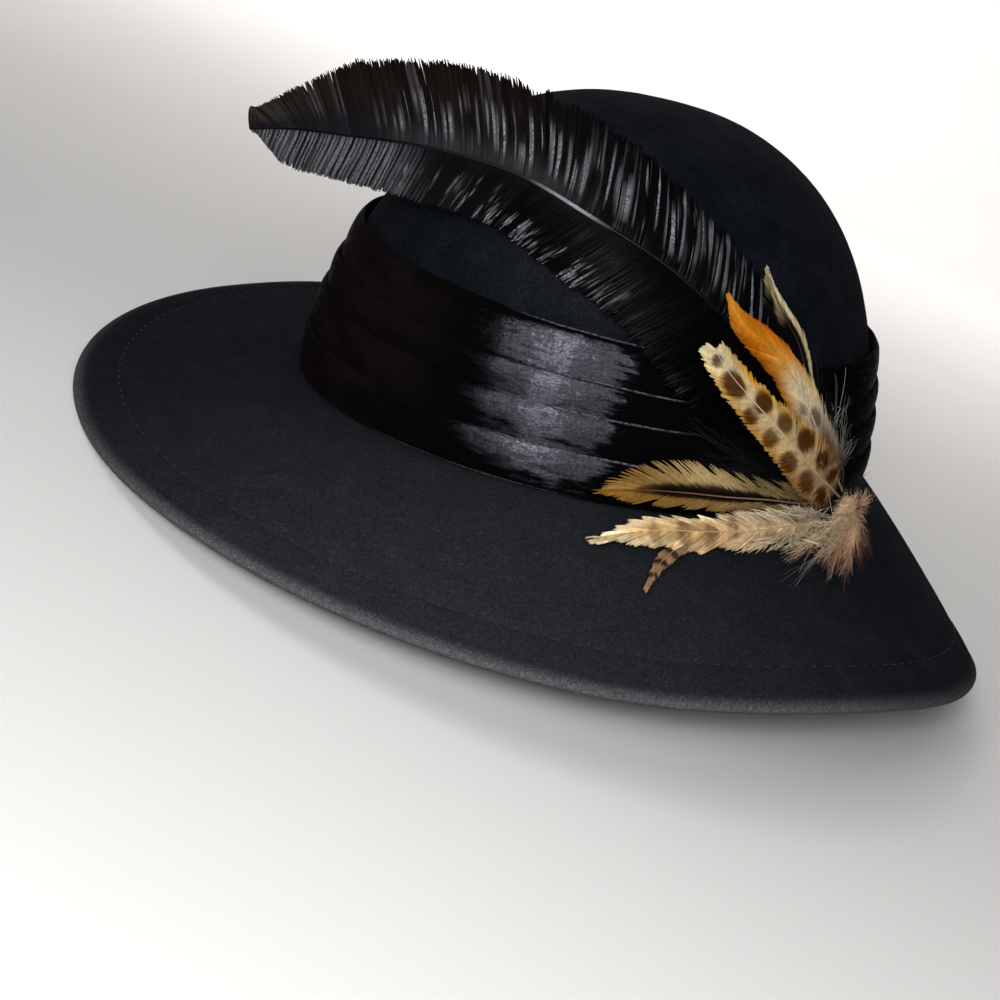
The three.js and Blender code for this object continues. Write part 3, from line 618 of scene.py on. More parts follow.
def brim_rings():
    """Sections of the brim from under the crown over the top, round the hem and back below."""
    def at(inset, depth, beyond=0.0):
        """Ring of points at a distance in from the edge."""
        u = 1 - inset / (brim_at("reach", TURNS) - FELT)
        return brim_point(TURNS, u, depth, beyond)

    def top(u):
        """Ring of the upper face, with the hem's swell and the groove of its stitches."""
        inset = (1 - u) * (brim_at("reach", TURNS) - FELT)
        groove = SEAM_GROOVE * np.exp(-((inset - HEM) / GROOVE_WIDTH) ** 2)
        swell = HEM_SWELL * np.clip(1 - np.abs(inset - HEM / 2) / (HEM / 2), 0, 1)
        flat = brim_point(TURNS, u, 0)
        return brim_point(TURNS, u, groove[..., None] - swell[..., None]
                          - uneven(flat, seed=5)[..., None] * min(1, u * 4))

    # Rows lie close together at the seam and the edge
    insets = np.array([13, 12, 11.2, 10.6, 10, 9.4, 8.8, 8, 6.5, 5, 3.5, 2, 1])
    hem_share = 1 - insets / BRIM_WIDTH
    shares = list(np.linspace(0, hem_share[0], BRIM_ROWS)[:-1]) + list(hem_share)
    rings = [crown_ring(0, -FELT)] + [top(u) for u in shares]
    # Round the edge, back under the hem, round its cut edge, and below the brim to the crown
    for angle in np.radians(np.arange(0, 181, 15)):
        rings.append(at(0, FELT * (1 - math.cos(angle)), FELT * math.sin(angle)))
    rings += [at(inset, 2 * FELT) for inset in (1, 2.5, 4.5, 6.5, 8.5, 9.6)]
    rings += [at(inset, depth * FELT) for inset, depth in ((10, 1.85), (10.2, 1.5), (10.3, 1.0))]
    rings += [brim_point(TURNS, u, FELT) for u in np.linspace(0.8, 0, BRIM_ROWS)]
    rings.append(crown_ring(-FELT, -FELT))
    return rings


def brim_mesh(look):
    """Brim with its hem, with a painted highlight along its edge and in front, and an even paleness."""
    rings = brim_rings()
    points = np.concatenate(rings)
    mesh = mesh_from("brim felt", points, ring_faces(len(rings), COLUMNS, closed_rows=True), look)
    # Painted highlight on the rolled edge and in front, over an even paleness of the whole brim
    edge = np.tile(brim_point(TURNS, 1.0, FELT, FELT), (len(rings), 1))
    near = np.exp(-(np.linalg.norm(points - edge, axis=1) / (1.35 * FELT)) ** 2)
    front = FRONT_HIGHLIGHT * np.cos(np.radians(TURNS - FRONT_TURN)).clip(0, 1) ** 3
    keep(mesh, "painted_light_and_paleness", np.maximum(EDGE_HIGHLIGHT * near, np.tile(BRIM_PALENESS + front, len(rings))))
    return mesh


def band_section():
    """The strip's path from its upper raw edge down: rows of the fold above, the share of the way
    to the fold below, a height added in millimetres, and the distance off the crown."""
    rows = [(0, 0, -7.5, 0.62), (0, 0, -5, 0.68), (0, 0, -2.5, 0.85), (0, 0, -1, 1.0)]
    for fold in range(len(FOLD_TOPS)):
        lip = 2.0 if fold == 0 else 2.2
        rows += [(fold, 0, -0.45, lip - 0.42), (fold, 0, -0.12, lip - 0.3), (fold, 0, 0, lip),
                 (fold, 0, -0.14, lip + 0.3), (fold, 0, -0.5, lip + 0.46)]
        rows += [(fold, share, 0, out) for share, out in (
            (0.16, 2.86), (0.3, 2.84), (0.45, 2.72), (0.6, 2.5), (0.75, 2.2), (0.88, 1.92))]
        if fold + 1 < len(FOLD_TOPS):
            rows += [(fold, 1, 0.1, 1.68), (fold, 1, -1.5, 1.45), (fold, 1, -3.4, 1.2),
                     (fold, 1, -4.6, 1.1), (fold, 1, -4.95, 1.22), (fold, 1, -4.6, 1.36),
                     (fold, 1, -3.2, 1.46), (fold, 1, -1.6, 1.7)]
        else:
            rows += [(fold, 1, 0.5, 1.75), (fold, 1, 0.14, HEM_LIP), (fold, 1, 0, 1.3),
                     (fold, 1, 0.14, 1.02), (fold, 1, 0.6, 0.86), (fold, 1, 2.5, 0.72),
                     (fold, 1, 5.5, 0.66)]
    return rows


def band_mesh(look):
    """Pleated strip of satin, its folds open upwards and each tucked under the next one down, with
    its flat width and length in metres."""
    turn = np.arange(BAND_COLUMNS) * 360 / BAND_COLUMNS
    a = np.radians(turn)
    height = BAND_HEIGHT + BAND_TILT_SIDE * np.cos(a) + BAND_TILT_BACK * np.sin(a) - BAND_BOTTOM
    round_it = np.stack([BAND_RADIUS * np.cos(a), BAND_RADIUS * np.sin(a), 0 * a], -1)
    tops = []
    for fold, share in enumerate([*FOLD_TOPS, 0]):
        play = MIDDLE_SWAY if 0 < fold < len(FOLD_TOPS) else OUTER_SWAY
        sway = play * wander(round_it, 38, 20 + fold) + 0.15 * wander(round_it, 11, 30 + fold)
        tops.append(BAND_BOTTOM + share * height + (sway if share else 0))
    rings, lips = [], []
    for fold, share, rise, out in band_section():
        # Light catches the top of each rolled edge, and the last fold's bottom edge
        rolled = share == 0 and -0.3 < rise <= 0
        hem = fold + 1 == len(FOLD_TOPS) and share == 1 and out == HEM_LIP
        lips.append(within(*LIT_LIPS, turn) * rolled + 0.7 * within(*LIT_HEM, turn) * hem)
        up = tops[fold] + (tops[fold + 1] - tops[fold]) * share + rise
        place = round_it + np.array([0, 0, FOLD_DEPTH * fold + FOLD_DEPTH * share])
        loose = 0.2 * wander(place, 24, 40) + 0.1 * wander(place * [1, 1, 0.4], 8, 41)
        # What lies tight on the crown doesn't wander
        free = min(1, (out - 0.6) / 0.8)
        rings.append(leaned(on_crown(turn, up, out + loose * free)[0]))
    points = np.stack(rings)
    faces = ring_faces(len(rings), BAND_COLUMNS)
    mesh = mesh_from("band", points.reshape(-1, 3), faces, look)
    keep(mesh, "lip", np.concatenate(lips))
    keep(mesh, "dusk", np.tile(within(*DUSK, turn), len(rings)))
    # Painted shade that cuts the streak off beside the feathers
    keep(mesh, "painted_shade", np.tile(within(*SHADED_SPAN, turn), len(rings)))
    along = np.cumsum(np.linalg.norm(np.diff(points[:, 0], axis=0, prepend=points[:1, 0]), axis=1))
    strip = mesh.uv_layers.new(name="strip")
    spot = np.zeros(len(mesh.loops), int)
    mesh.loops.foreach_get("vertex_index", spot)
    column, row = spot % BAND_COLUMNS, spot // BAND_COLUMNS
    # The faces that close the round end at the strip's full length
    per_face = column.reshape(-1, 4)
    last = per_face.max(1, keepdims=True) == BAND_COLUMNS - 1
    wrap = ((per_face == 0) & last).ravel()
    length = 2 * math.pi * BAND_RADIUS
    u = (column + BAND_COLUMNS * wrap) / BAND_COLUMNS * length
    strip.data.foreach_set("uv", np.stack([u * MM, along[row] * MM], -1).ravel())
    return mesh, (float(along[-1]) * MM, length * MM)


# Materials. A pattern's Scale is 1 over its real size in metres.

def linear(colour):
    """An sRGB hex colour as shaders and attributes take it."""
    parts = [int(colour[i:i + 2], 16) / 255 for i in (1, 3, 5)]
    return [p / 12.92 if p <= 0.04045 else ((p + 0.055) / 1.055) ** 2.4 for p in parts] + [1.0]


def feed(tree, node, inputs):
    """Gives a node its inputs, each a value or another node's output."""
    for key, value in inputs.items():
        socket = node.inputs[key]
        if isinstance(value, bpy.types.NodeSocket):
            tree.links.new(value, socket)
        else:
            socket.default_value = value


def add(tree, kind, inputs=None, stops=(), **settings):
    """Adds a node with its settings and inputs, and with places and colours for a ramp."""
    node = tree.nodes.new(kind)
    for key, value in settings.items():
        setattr(node, key, value)
    feed(tree, node, inputs or {})
    for i, (place, colour) in enumerate(stops):
        elements = node.color_ramp.elements
        element = elements[i] if i < 2 else elements.new(1)
        element.position = place
        element.color = linear(colour)
    return node


def new_material(name):
    """An empty material, its tree and its shader."""
    made = bpy.data.materials.new(name)
    made.use_nodes = True
    return made, made.node_tree, made.node_tree.nodes["Principled BSDF"]


def felt_material():
    """Brushed wool felt: matted black fibres with a faint blue cast. It scatters light evenly, is
    mottled by its fibres, and has the faintest pale bloom where the nap is seen aslant."""
    made, tree, shader = new_material("brushed wool felt")
    place = add(tree, "ShaderNodeTexCoord").outputs["Object"]
    mottle = add(tree, "ShaderNodeTexNoise", {"Vector": place, "Scale": 1 / 0.011, "Detail": 4.0,
                                              "Roughness": 0.62})
    fibre = add(tree, "ShaderNodeTexNoise", {"Vector": place, "Scale": 1 / 0.0007, "Detail": 3.0,
                                             "Roughness": 0.7, "Distortion": 1.4})
    tone = add(tree, "ShaderNodeValToRGB", {"Fac": mottle.outputs["Fac"]}, stops=[
        (0.3, "#0f1318"), (0.5, "#13171e"), (0.7, "#1a1e25")]).outputs["Color"]
    # Painted highlights, and an even paleness of the brim, turn the felt towards pale grey
    painted_light_share = add(tree, "ShaderNodeAttribute", attribute_name="painted_light_and_paleness").outputs["Fac"]
    painted_light_colour = add(tree, "ShaderNodeMix", {6: tone, 7: linear("#646569"), "Factor": painted_light_share},
               data_type="RGBA").outputs[2]
    thread = add(tree, "ShaderNodeValToRGB", {"Fac": fibre.outputs["Fac"]}, stops=[
        (0.36, "#a0a0a0"), (0.52, "#c4c4c4"), (0.64, "#ffffff")]).outputs["Color"]
    colour = add(tree, "ShaderNodeMix", {6: painted_light_colour, 7: thread, "Factor": 1.0}, data_type="RGBA",
                 blend_type="MULTIPLY").outputs[2]
    # Specks of pale lint, about one in each 40 mm
    cells = add(tree, "ShaderNodeTexVoronoi", {"Vector": place, "Scale": 1 / 0.04})
    speck = add(tree, "ShaderNodeMath", {0: cells.outputs["Distance"], 1: 0.008},
                operation="LESS_THAN").outputs[0]
    lint = add(tree, "ShaderNodeMix", {6: colour, 7: linear("#8f9094"), "Factor": speck},
               data_type="RGBA").outputs[2]
    nap = add(tree, "ShaderNodeBump", {"Height": fibre.outputs["Fac"], "Strength": 0.4,
                                       "Distance": 0.0004})
    soft = add(tree, "ShaderNodeBump", {"Height": mottle.outputs["Fac"], "Strength": 0.35,
                                        "Distance": 0.0009, "Normal": nap.outputs[0]})
    feed(tree, shader, {
        "Base Color": lint, "Normal": soft.outputs[0], "Roughness": 0.95,
        "Specular IOR Level": 0.01, "Sheen Weight": 0.005, "Sheen Roughness": 0.4,
        "Sheen Tint": linear("#9a9aa2"),
    })
    return made


def satin_material():
    """Polyester satin: long floating threads round the band. Seen square on they throw a broad
    streak of light up and down the folds, torn at its edges, and they stay nearly black beside it."""
    made, tree, shader = new_material("woven satin")
    strip = add(tree, "ShaderNodeUVMap", uv_map="strip").outputs[0]

    def pattern(along, across, detail, rough=0.6):
        """Noise whose patches have these sizes in metres round and across the band."""
        place = add(tree, "ShaderNodeMapping", {"Vector": strip, "Scale": (1 / along, 1 / across, 1)})
        return add(tree, "ShaderNodeTexNoise", {"Vector": place.outputs[0], "Scale": 1.0,
                                                "Detail": detail, "Roughness": rough}).outputs["Fac"]

    # Threads are 0.1 mm apart. They are drawn at 0.35 mm, which is as fine as the picture shows.
    grain = pattern(0.0009, 0.00035, 3.0)
    pull = pattern(0.011, 0.013, 4.0)
    flames = pattern(0.007, 0.0015, 4.0, 0.7)
    glint = add(tree, "ShaderNodeValToRGB", {"Fac": grain}, stops=[
        (0.34, "#8f8c9e"), (0.5, "#b5b1c7"), (0.68, "#f2efff")]).outputs["Color"]
    colour = add(tree, "ShaderNodeValToRGB", {"Fac": grain}, stops=[
        (0.3, "#030304"), (0.7, "#060607")]).outputs["Color"]
    # Light skims the rolled edges of the folds, broken where threads stand out
    lip = add(tree, "ShaderNodeAttribute", attribute_name="lip").outputs["Fac"]
    frayed = add(tree, "ShaderNodeMapRange", {"Value": pattern(0.0012, 0.0008, 2.0), "From Min": 0.38,
                                              "From Max": 0.6, "To Min": 0.15, "To Max": 1.0})
    lit = add(tree, "ShaderNodeMath", {0: lip, 1: frayed.outputs[0]}, operation="MULTIPLY").outputs[0]
    # A faint brown light lies on the folds beside the streak
    dusk = add(tree, "ShaderNodeAttribute", attribute_name="dusk").outputs["Fac"]
    cloudy = add(tree, "ShaderNodeMapRange", {"Value": pattern(0.03, 0.012, 2.0), "From Min": 0.35,
                                              "From Max": 0.65, "To Min": 0.2, "To Max": 1.0})
    haze = add(tree, "ShaderNodeMath", {0: dusk, 1: cloudy.outputs[0]}, operation="MULTIPLY").outputs[0]
    brown = add(tree, "ShaderNodeMix", {6: colour, 7: linear("#130e0e"), "Factor": haze},
                data_type="RGBA").outputs[2]
    edged = add(tree, "ShaderNodeMix", {6: brown, 7: linear("#625f6b"), "Factor": lit},
                data_type="RGBA").outputs[2]
    # The cloth is pulled a little uneven, which shows less where it turns away
    aslant = add(tree, "ShaderNodeLayerWeight", {"Blend": 0.5}).outputs["Facing"]
    relief = add(tree, "ShaderNodeMapRange", {"Value": aslant, "From Min": 0.3, "From Max": 0.7,
                                              "To Min": 0.35, "To Max": 0.04})
    broad = add(tree, "ShaderNodeBump", {"Height": pull, "Strength": relief.outputs[0],
                                         "Distance": 0.0011})
    tangent = add(tree, "ShaderNodeTangent", direction_type="UV_MAP", uv_map="strip").outputs[0]
    # Each bundle of threads lies a few degrees off the next, which tears the streak's edges
    turn = add(tree, "ShaderNodeMapRange", {"Value": flames, "From Min": 0.3, "From Max": 0.7,
                                            "To Min": -0.12, "To Max": 0.12})
    tilt = add(tree, "ShaderNodeVectorMath", {"Vector": tangent, "Scale": turn.outputs[0]},
               operation="SCALE")
    tilted = add(tree, "ShaderNodeVectorMath", {0: broad.outputs[0], 1: tilt.outputs[0]},
                 operation="ADD")
    normal = add(tree, "ShaderNodeVectorMath", {0: tilted.outputs[0]}, operation="NORMALIZE")
    # Painted shade: beside the feathers the folds give back no streak
    painted_shade = add(tree, "ShaderNodeAttribute", attribute_name="painted_shade").outputs["Fac"]
    away = add(tree, "ShaderNodeMath", {0: painted_shade, 1: 0.09, 2: aslant}, operation="MULTIPLY_ADD")
    limit = add(tree, "ShaderNodeMath", {0: flames, 1: 0.16, 2: away.outputs[0]},
                operation="MULTIPLY_ADD")
    # Both the threads' shine and their bare reflection end at that limit, over a narrow step
    bright, mirror = (
        add(tree, "ShaderNodeMapRange", {"Value": limit.outputs[0], "From Min": 0.13,
                                         "From Max": 0.175, "To Min": streak, "To Max": beside})
        for streak, beside in ((0.72, 0.01), (1.5, 1.05)))
    feed(tree, shader, {
        "Base Color": edged, "Normal": normal.outputs[0], "Roughness": 0.36,
        "IOR": mirror.outputs[0],
        "Specular IOR Level": bright.outputs[0], "Specular Tint": glint, "Anisotropic": 0.95,
        "Anisotropic Rotation": 0.25, "Tangent": tangent, "Sheen Weight": 0.012,
        "Sheen Roughness": 0.35, "Sheen Tint": linear("#8a7264"),
    })
    return made


KERATIN_IOR = 1.54


def barb_material(name, roughness, specular):
    """Keratin barbs: slightly shiny fibres whose colour comes from the feather's own markings,
    streaked from barb to barb, with a silvery sheen where the colour's fourth part says."""
    made, tree, shader = new_material(name)
    own = add(tree, "ShaderNodeAttribute", attribute_name="colour")
    place = add(tree, "ShaderNodeTexCoord").outputs["Object"]
    streak = add(tree, "ShaderNodeTexNoise", {"Vector": place, "Scale": 1 / 0.0012, "Detail": 2.0})
    tone = add(tree, "ShaderNodeValToRGB", {"Fac": streak.outputs["Fac"]}, stops=[
        (0.3, "#dcdcdc"), (0.65, "#ffffff")]).outputs["Color"]
    plain = add(tree, "ShaderNodeMix", {6: own.outputs["Color"], 7: tone, "Factor": 1.0},
                data_type="RGBA", blend_type="MULTIPLY").outputs[2]
    # Barbules catch the light in beads where the sheen is strong and evenly where it is weak
    beads = add(tree, "ShaderNodeTexNoise", {"Vector": place, "Scale": 1 / 0.0006, "Detail": 1.0})
    gap = add(tree, "ShaderNodeMapRange", {"Value": beads.outputs["Fac"], "From Min": 0.6,
                                           "From Max": 0.42, "To Min": 0.0, "To Max": 1.6})
    lost = add(tree, "ShaderNodeMath", {0: own.outputs["Alpha"], 1: gap.outputs[0]},
               operation="MULTIPLY").outputs[0]
    kept = add(tree, "ShaderNodeMath", {0: 1.0, 1: lost}, operation="SUBTRACT").outputs[0]
    amount = add(tree, "ShaderNodeMath", {0: own.outputs["Alpha"], 1: kept},
                 operation="MULTIPLY").outputs[0]
    colour = add(tree, "ShaderNodeMix", {6: plain, 7: linear("#a2a4ac"), "Factor": amount},
                 data_type="RGBA").outputs[2]
    rough = add(tree, "ShaderNodeBump", {"Height": streak.outputs["Fac"], "Strength": 0.3,
                                         "Distance": 0.0002})
    feed(tree, shader, {
        "Base Color": colour, "Normal": rough.outputs[0], "Roughness": roughness, "IOR": KERATIN_IOR,
        "Specular IOR Level": specular,
    })
    return made


def shaft_material(name, roughness, specular):
    """Keratin shaft: smooth and horny, with a narrow bright line along it, a painted highlight on the
    plume.
    """
    made, tree, shader = new_material(name)
    own = add(tree, "ShaderNodeAttribute", attribute_name="colour").outputs["Color"]
    place = add(tree, "ShaderNodeTexCoord").outputs["Object"]
    grain = add(tree, "ShaderNodeTexNoise", {"Vector": place, "Scale": 1 / 0.0006, "Detail": 2.0})
    tone = add(tree, "ShaderNodeValToRGB", {"Fac": grain.outputs["Fac"]}, stops=[
        (0.3, "#d6d6d6"), (0.7, "#ffffff")]).outputs["Color"]
    colour = add(tree, "ShaderNodeMix", {6: own, 7: tone, "Factor": 1.0}, data_type="RGBA",
                 blend_type="MULTIPLY").outputs[2]
    rough = add(tree, "ShaderNodeBump", {"Height": grain.outputs["Fac"], "Strength": 0.12,
                                         "Distance": 0.0001})
    feed(tree, shader, {
        "Base Color": colour, "Normal": rough.outputs[0], "Roughness": roughness, "IOR": KERATIN_IOR,
        "Specular IOR Level": specular,
    })
    return made


def thread_material():
    """Spun cotton thread: black, dull, twisted from two plies that catch a little light."""
    made, tree, shader = new_material("cotton thread")
    place = add(tree, "ShaderNodeTexCoord").outputs["Object"]
    plies = add(tree, "ShaderNodeTexNoise", {"Vector": place, "Scale": 1 / 0.0004, "Detail": 2.0})
    colour = add(tree, "ShaderNodeValToRGB", {"Fac": plies.outputs["Fac"]}, stops=[
        (0.35, "#141518"), (0.7, "#303136")]).outputs["Color"]
    feed(tree, shader, {"Base Color": colour, "Roughness": 0.75, "Specular IOR Level": 0.12})
    return made


def floor_material():
    """Matt white paper: pale and dull, with broad clouds that hardly show."""
    made, tree, shader = new_material("matt white paper")
    place = add(tree, "ShaderNodeTexCoord").outputs["Object"]
    clouds = add(tree, "ShaderNodeTexNoise", {"Vector": place, "Scale": 3.0, "Detail": 3.0})
    colour = add(tree, "ShaderNodeValToRGB", {"Fac": clouds.outputs["Fac"]}, stops=[
        (0.3, "#c4c4c4"), (0.7, "#c9c9c9")]).outputs["Color"]
    feed(tree, shader, {"Base Color": colour, "Roughness": 0.9, "Specular IOR Level": 0.1})
    return made


# Strands: each barb, hair and shaft is a line of points that one node tree sweeps into a fine rod

def new_tree(name, **kinds):
    """A tree that grows geometry on a skeleton mesh, with named inputs, and those inputs."""
    tree = bpy.data.node_groups.new(name, "GeometryNodeTree")
    for key, kind in {"Geometry": "Geometry", **kinds, "Material": "Material"}.items():
        tree.interface.new_socket(name=key, in_out="INPUT", socket_type="NodeSocket" + kind)
    tree.interface.new_socket(name="Geometry", in_out="OUTPUT", socket_type="NodeSocketGeometry")
    return tree, add(tree, "NodeGroupInput").outputs


def end_tree(tree, given, shape, smooth):
    """Ends a tree in real geometry that has its material."""
    real = add(tree, "GeometryNodeRealizeInstances", {"Geometry": shape})
    shaded = add(tree, "GeometryNodeSetShadeSmooth", {"Geometry": real.outputs[0],
                                                      "Shade Smooth": smooth})
    dressed = add(tree, "GeometryNodeSetMaterial", {"Geometry": shaded.outputs[0],
                                                    "Material": given["Material"]})
    add(tree, "NodeGroupOutput", {"Geometry": dressed.outputs[0]})
    return tree


def sweep_tree():
    """Sweeps an oval along each line of a skeleton, as thick there as its radius says."""
    tree, given = new_tree("sweep strands", Width="Float", Thickness="Float", Sides="Int",
                           Smooth="Bool")
    line = add(tree, "GeometryNodeMeshToCurve", {"Mesh": given["Geometry"]})
    facing = add(tree, "GeometryNodeInputNamedAttribute", {"Name": "facing"},
                 data_type="FLOAT_VECTOR").outputs["Attribute"]
    laid = add(tree, "GeometryNodeSetCurveNormal", {"Curve": line.outputs[0], "Normal": facing},
               mode="FREE")
    radius = add(tree, "GeometryNodeInputNamedAttribute", {"Name": "radius"},
                 data_type="FLOAT").outputs["Attribute"]
    circle = add(tree, "GeometryNodeCurvePrimitiveCircle", {"Resolution": given["Sides"],
                                                            "Radius": 1.0})
    size = add(tree, "ShaderNodeCombineXYZ", {"X": given["Thickness"], "Y": given["Width"],
                                              "Z": 1.0})
    profile = add(tree, "GeometryNodeTransform", {"Geometry": circle.outputs[0],
                                                  "Scale": size.outputs[0]})
    rod = add(tree, "GeometryNodeCurveToMesh", {"Curve": laid.outputs[0], "Scale": radius,
                                                "Profile Curve": profile.outputs[0],
                                                "Fill Caps": True})
    return end_tree(tree, given, rod.outputs[0], given["Smooth"])


def stitch_tree():
    """Lays a long bead of thread at each pitch along a line."""
    tree, given = new_tree("row of stitches", Pitch="Float", Length="Float", Radius="Float")
    line = add(tree, "GeometryNodeMeshToCurve", {"Mesh": given["Geometry"]})
    even = add(tree, "GeometryNodeResampleCurve", {"Curve": line.outputs[0],
                                                   "Length": given["Pitch"]}, mode="LENGTH")
    heading = add(tree, "GeometryNodeInputTangent").outputs[0]
    way = add(tree, "FunctionNodeAlignRotationToVector", {"Vector": heading}, axis="Z")
    half = add(tree, "ShaderNodeMath", {0: given["Length"], 1: 0.5}, operation="MULTIPLY")
    size = add(tree, "ShaderNodeCombineXYZ", {"X": given["Radius"], "Y": given["Radius"],
                                              "Z": half.outputs[0]})
    bead = add(tree, "GeometryNodeMeshUVSphere", {"Segments": 6, "Rings": 5, "Radius": 1.0})
    placed = add(tree, "GeometryNodeInstanceOnPoints", {
        "Points": even.outputs[0], "Instance": bead.outputs[0], "Rotation": way.outputs[0],
        "Scale": size.outputs[0]})
    return end_tree(tree, given, placed.outputs[0], True)


def grown(name, bones, tree, inputs):
    """The plain mesh that a node tree makes of a skeleton mesh, as a new piece."""
    holder = show(bones, name + "_skeleton")
    modifier = holder.modifiers.new("grow", "NODES")
    modifier.node_group = tree
    keys = {s.name: s.identifier for s in tree.interface.items_tree if s.in_out == "INPUT"}
    for key, value in inputs.items():
        modifier[keys[key]] = value
    graph = bpy.context.evaluated_depsgraph_get()
    mesh = bpy.data.meshes.new_from_object(holder.evaluated_get(graph),
                                           preserve_all_data_layers=True, depsgraph=graph)
    bpy.data.objects.remove(holder)
    bpy.data.meshes.remove(bones)
    mesh.name = name
    return show(mesh, name)


def skeleton(lines, attributes=None):
    """Mesh of open lines, points (lines, stations, 3) in millimetres, with point attributes."""
    count, stations = lines.shape[:2]
    first = np.arange(count)[:, None] * stations + np.arange(stations - 1)[None]
    edges = np.stack([first, first + 1], -1).reshape(-1, 2)
    mesh = bpy.data.meshes.new("skeleton")
    mesh.from_pydata((lines.reshape(-1, 3) * MM).tolist(), edges.tolist(), [])
    for key, values in (attributes or {}).items():
        keep(mesh, key, values)
    return mesh


def strand_piece(name, groups, tree, look, thickness, sides, smooth=False):
    """A piece made of groups of strands: lines, facings, half widths and colours of each. They
    have that many sides, and their thickness is that share of their width."""
    lines, facing, radius, colour = (np.concatenate(parts) for parts in zip(*groups))
    bones = skeleton(leaned(lines), {"facing": turned(facing), "radius": radius * MM,
                                     "colour": colour})
    return grown(name, bones, tree, {"Width": 1.0, "Thickness": thickness, "Sides": sides,
                                     "Smooth": smooth, "Material": look})


def smooth_line(knots):
    """Smooth curve through knots, spaced by the root of their distance."""
    ends = np.vstack([2 * knots[0] - knots[1], knots, 2 * knots[-1] - knots[-2]])
    line = []
    for i in range(len(knots) - 1):
        p0, p1, p2, p3 = ends[i:i + 4]
        d0, d1, d2 = (max(np.linalg.norm(b - a) ** 0.5, 1e-4)
                      for a, b in ((p0, p1), (p1, p2), (p2, p3)))
        t1 = ((p1 - p0) / d0 - (p2 - p0) / (d0 + d1) + (p2 - p1) / d1) * d1
        t2 = ((p2 - p1) / d1 - (p3 - p1) / (d1 + d2) + (p3 - p2) / d2) * d1
        f = np.linspace(0, 1, KNOT_STEPS)[1 if i else 0:, None]
        line.append(p1 + t1 * f + (3 * (p2 - p1) - 2 * t1 - t2) * f ** 2
                    + (2 * (p1 - p2) + t1 + t2) * f ** 3)
    return np.concatenate(line)


class Shaft:
    """A feather's shaft in the crown's frame, with the vane's directions at any distance along."""

    def __init__(self, rows):
        table = {key: np.array([row[i] for row in rows], float) for i, key in enumerate(ROW)}
        knots = on_crown(table["turn"], table["up"], table["out"])[0]
        line = smooth_line(knots)
        steps = np.linalg.norm(np.diff(line, axis=0), axis=1)
        self.places = np.concatenate([[0], np.cumsum(steps)])
        self.length = self.places[-1]
        chords = np.concatenate([[0], np.cumsum(np.linalg.norm(np.diff(knots, axis=0), axis=1))])
        self.rows = chords / chords[-1] * self.length
        self.table = table
        tangent = unit(np.gradient(line, axis=0))
        facing = on_crown(self.value("turn", self.places), self.value("up", self.places))[1]
        lying = unit(np.cross(facing, tangent))
        roll = np.radians(self.value("roll", self.places))[:, None]
        across = lying * np.cos(roll) + np.cross(tangent, lying) * np.sin(roll)
        self.line, self.tangent, self.across = line, tangent, across
        self.normal = np.cross(tangent, across)

    def value(self, column, distance):
        """Value of a column of the rows at a distance along the shaft."""
        return np.interp(distance, self.rows, self.table[column])

    def at(self, distance):
        """Point, direction across to the left, and facing direction."""
        inside = np.clip(distance, 0, self.length)
        point, across, normal, tangent = (
            np.stack([np.interp(inside, self.places, part[:, k]) for k in range(3)], -1)
            for part in (self.line, self.across, self.normal, self.tangent))
        point = point + tangent * (distance - inside)[..., None]
        return point, unit(across), unit(normal)


def colours_at(table, place, shade=SHADE):
    """Colours between those of a table, at places from 0 to 1."""
    at = [stop for stop, _ in table]
    colours = shade * np.array([linear(colour)[:3] for _, colour in table])
    return np.stack([np.interp(place, at, colours[:, k]) for k in range(3)], -1)


def sheen(sign, along, share, root, lock_glow, own_glow):
    """How much light the barbs' barbules throw back, smooth near the shaft and broken beyond."""
    # Neighbours share some of their glow, and ripples run across the barbs at changing distances
    pair = (own_glow + np.roll(own_glow, 1, axis=0)) / math.sqrt(2)
    ripple = np.sin(5 * pair + 11 * share) + 0.6 * np.sin(3 * own_glow + 25 * share)
    slow = np.sin(0.9 * root + 5 * share) + np.sin(0.37 * root - 7 * share + 2)
    total = 0 * along
    for row in PLUME_SHEEN:
        zone = dict(zip(SHEEN, row))
        if zone["side"] != sign:
            continue
        turn = 2 * math.pi * (root + 0.16 * zone["pitch"] * np.sin(1.7 * root)) / zone["pitch"]
        pattern = {
            "even": 1 + 0.25 * pair + 0 * along,
            "fine": eased(-0.7, 0.8, np.sin(turn) + 0.3 * own_glow) + 0 * along,
            "strands": eased(0.1, 1.1, np.sin(turn) + 0.35 * own_glow) * eased(-1.3, 0.9, slow),
            "streaks": eased(1.0, 1.9, lock_glow + 0.6 * own_glow) + 0 * along,
            "broken": eased(-0.5, 1.9, 0.8 * lock_glow + 0.9 * pair) * eased(-0.3, 1.3, ripple),
        }[zone["pattern"]]
        cover = within(zone["along"], SOFT_ALONG, along) * within(zone["share"], SOFT_SHARE, share)
        total = np.maximum(total, zone["strength"] * cover * pattern)
    return total


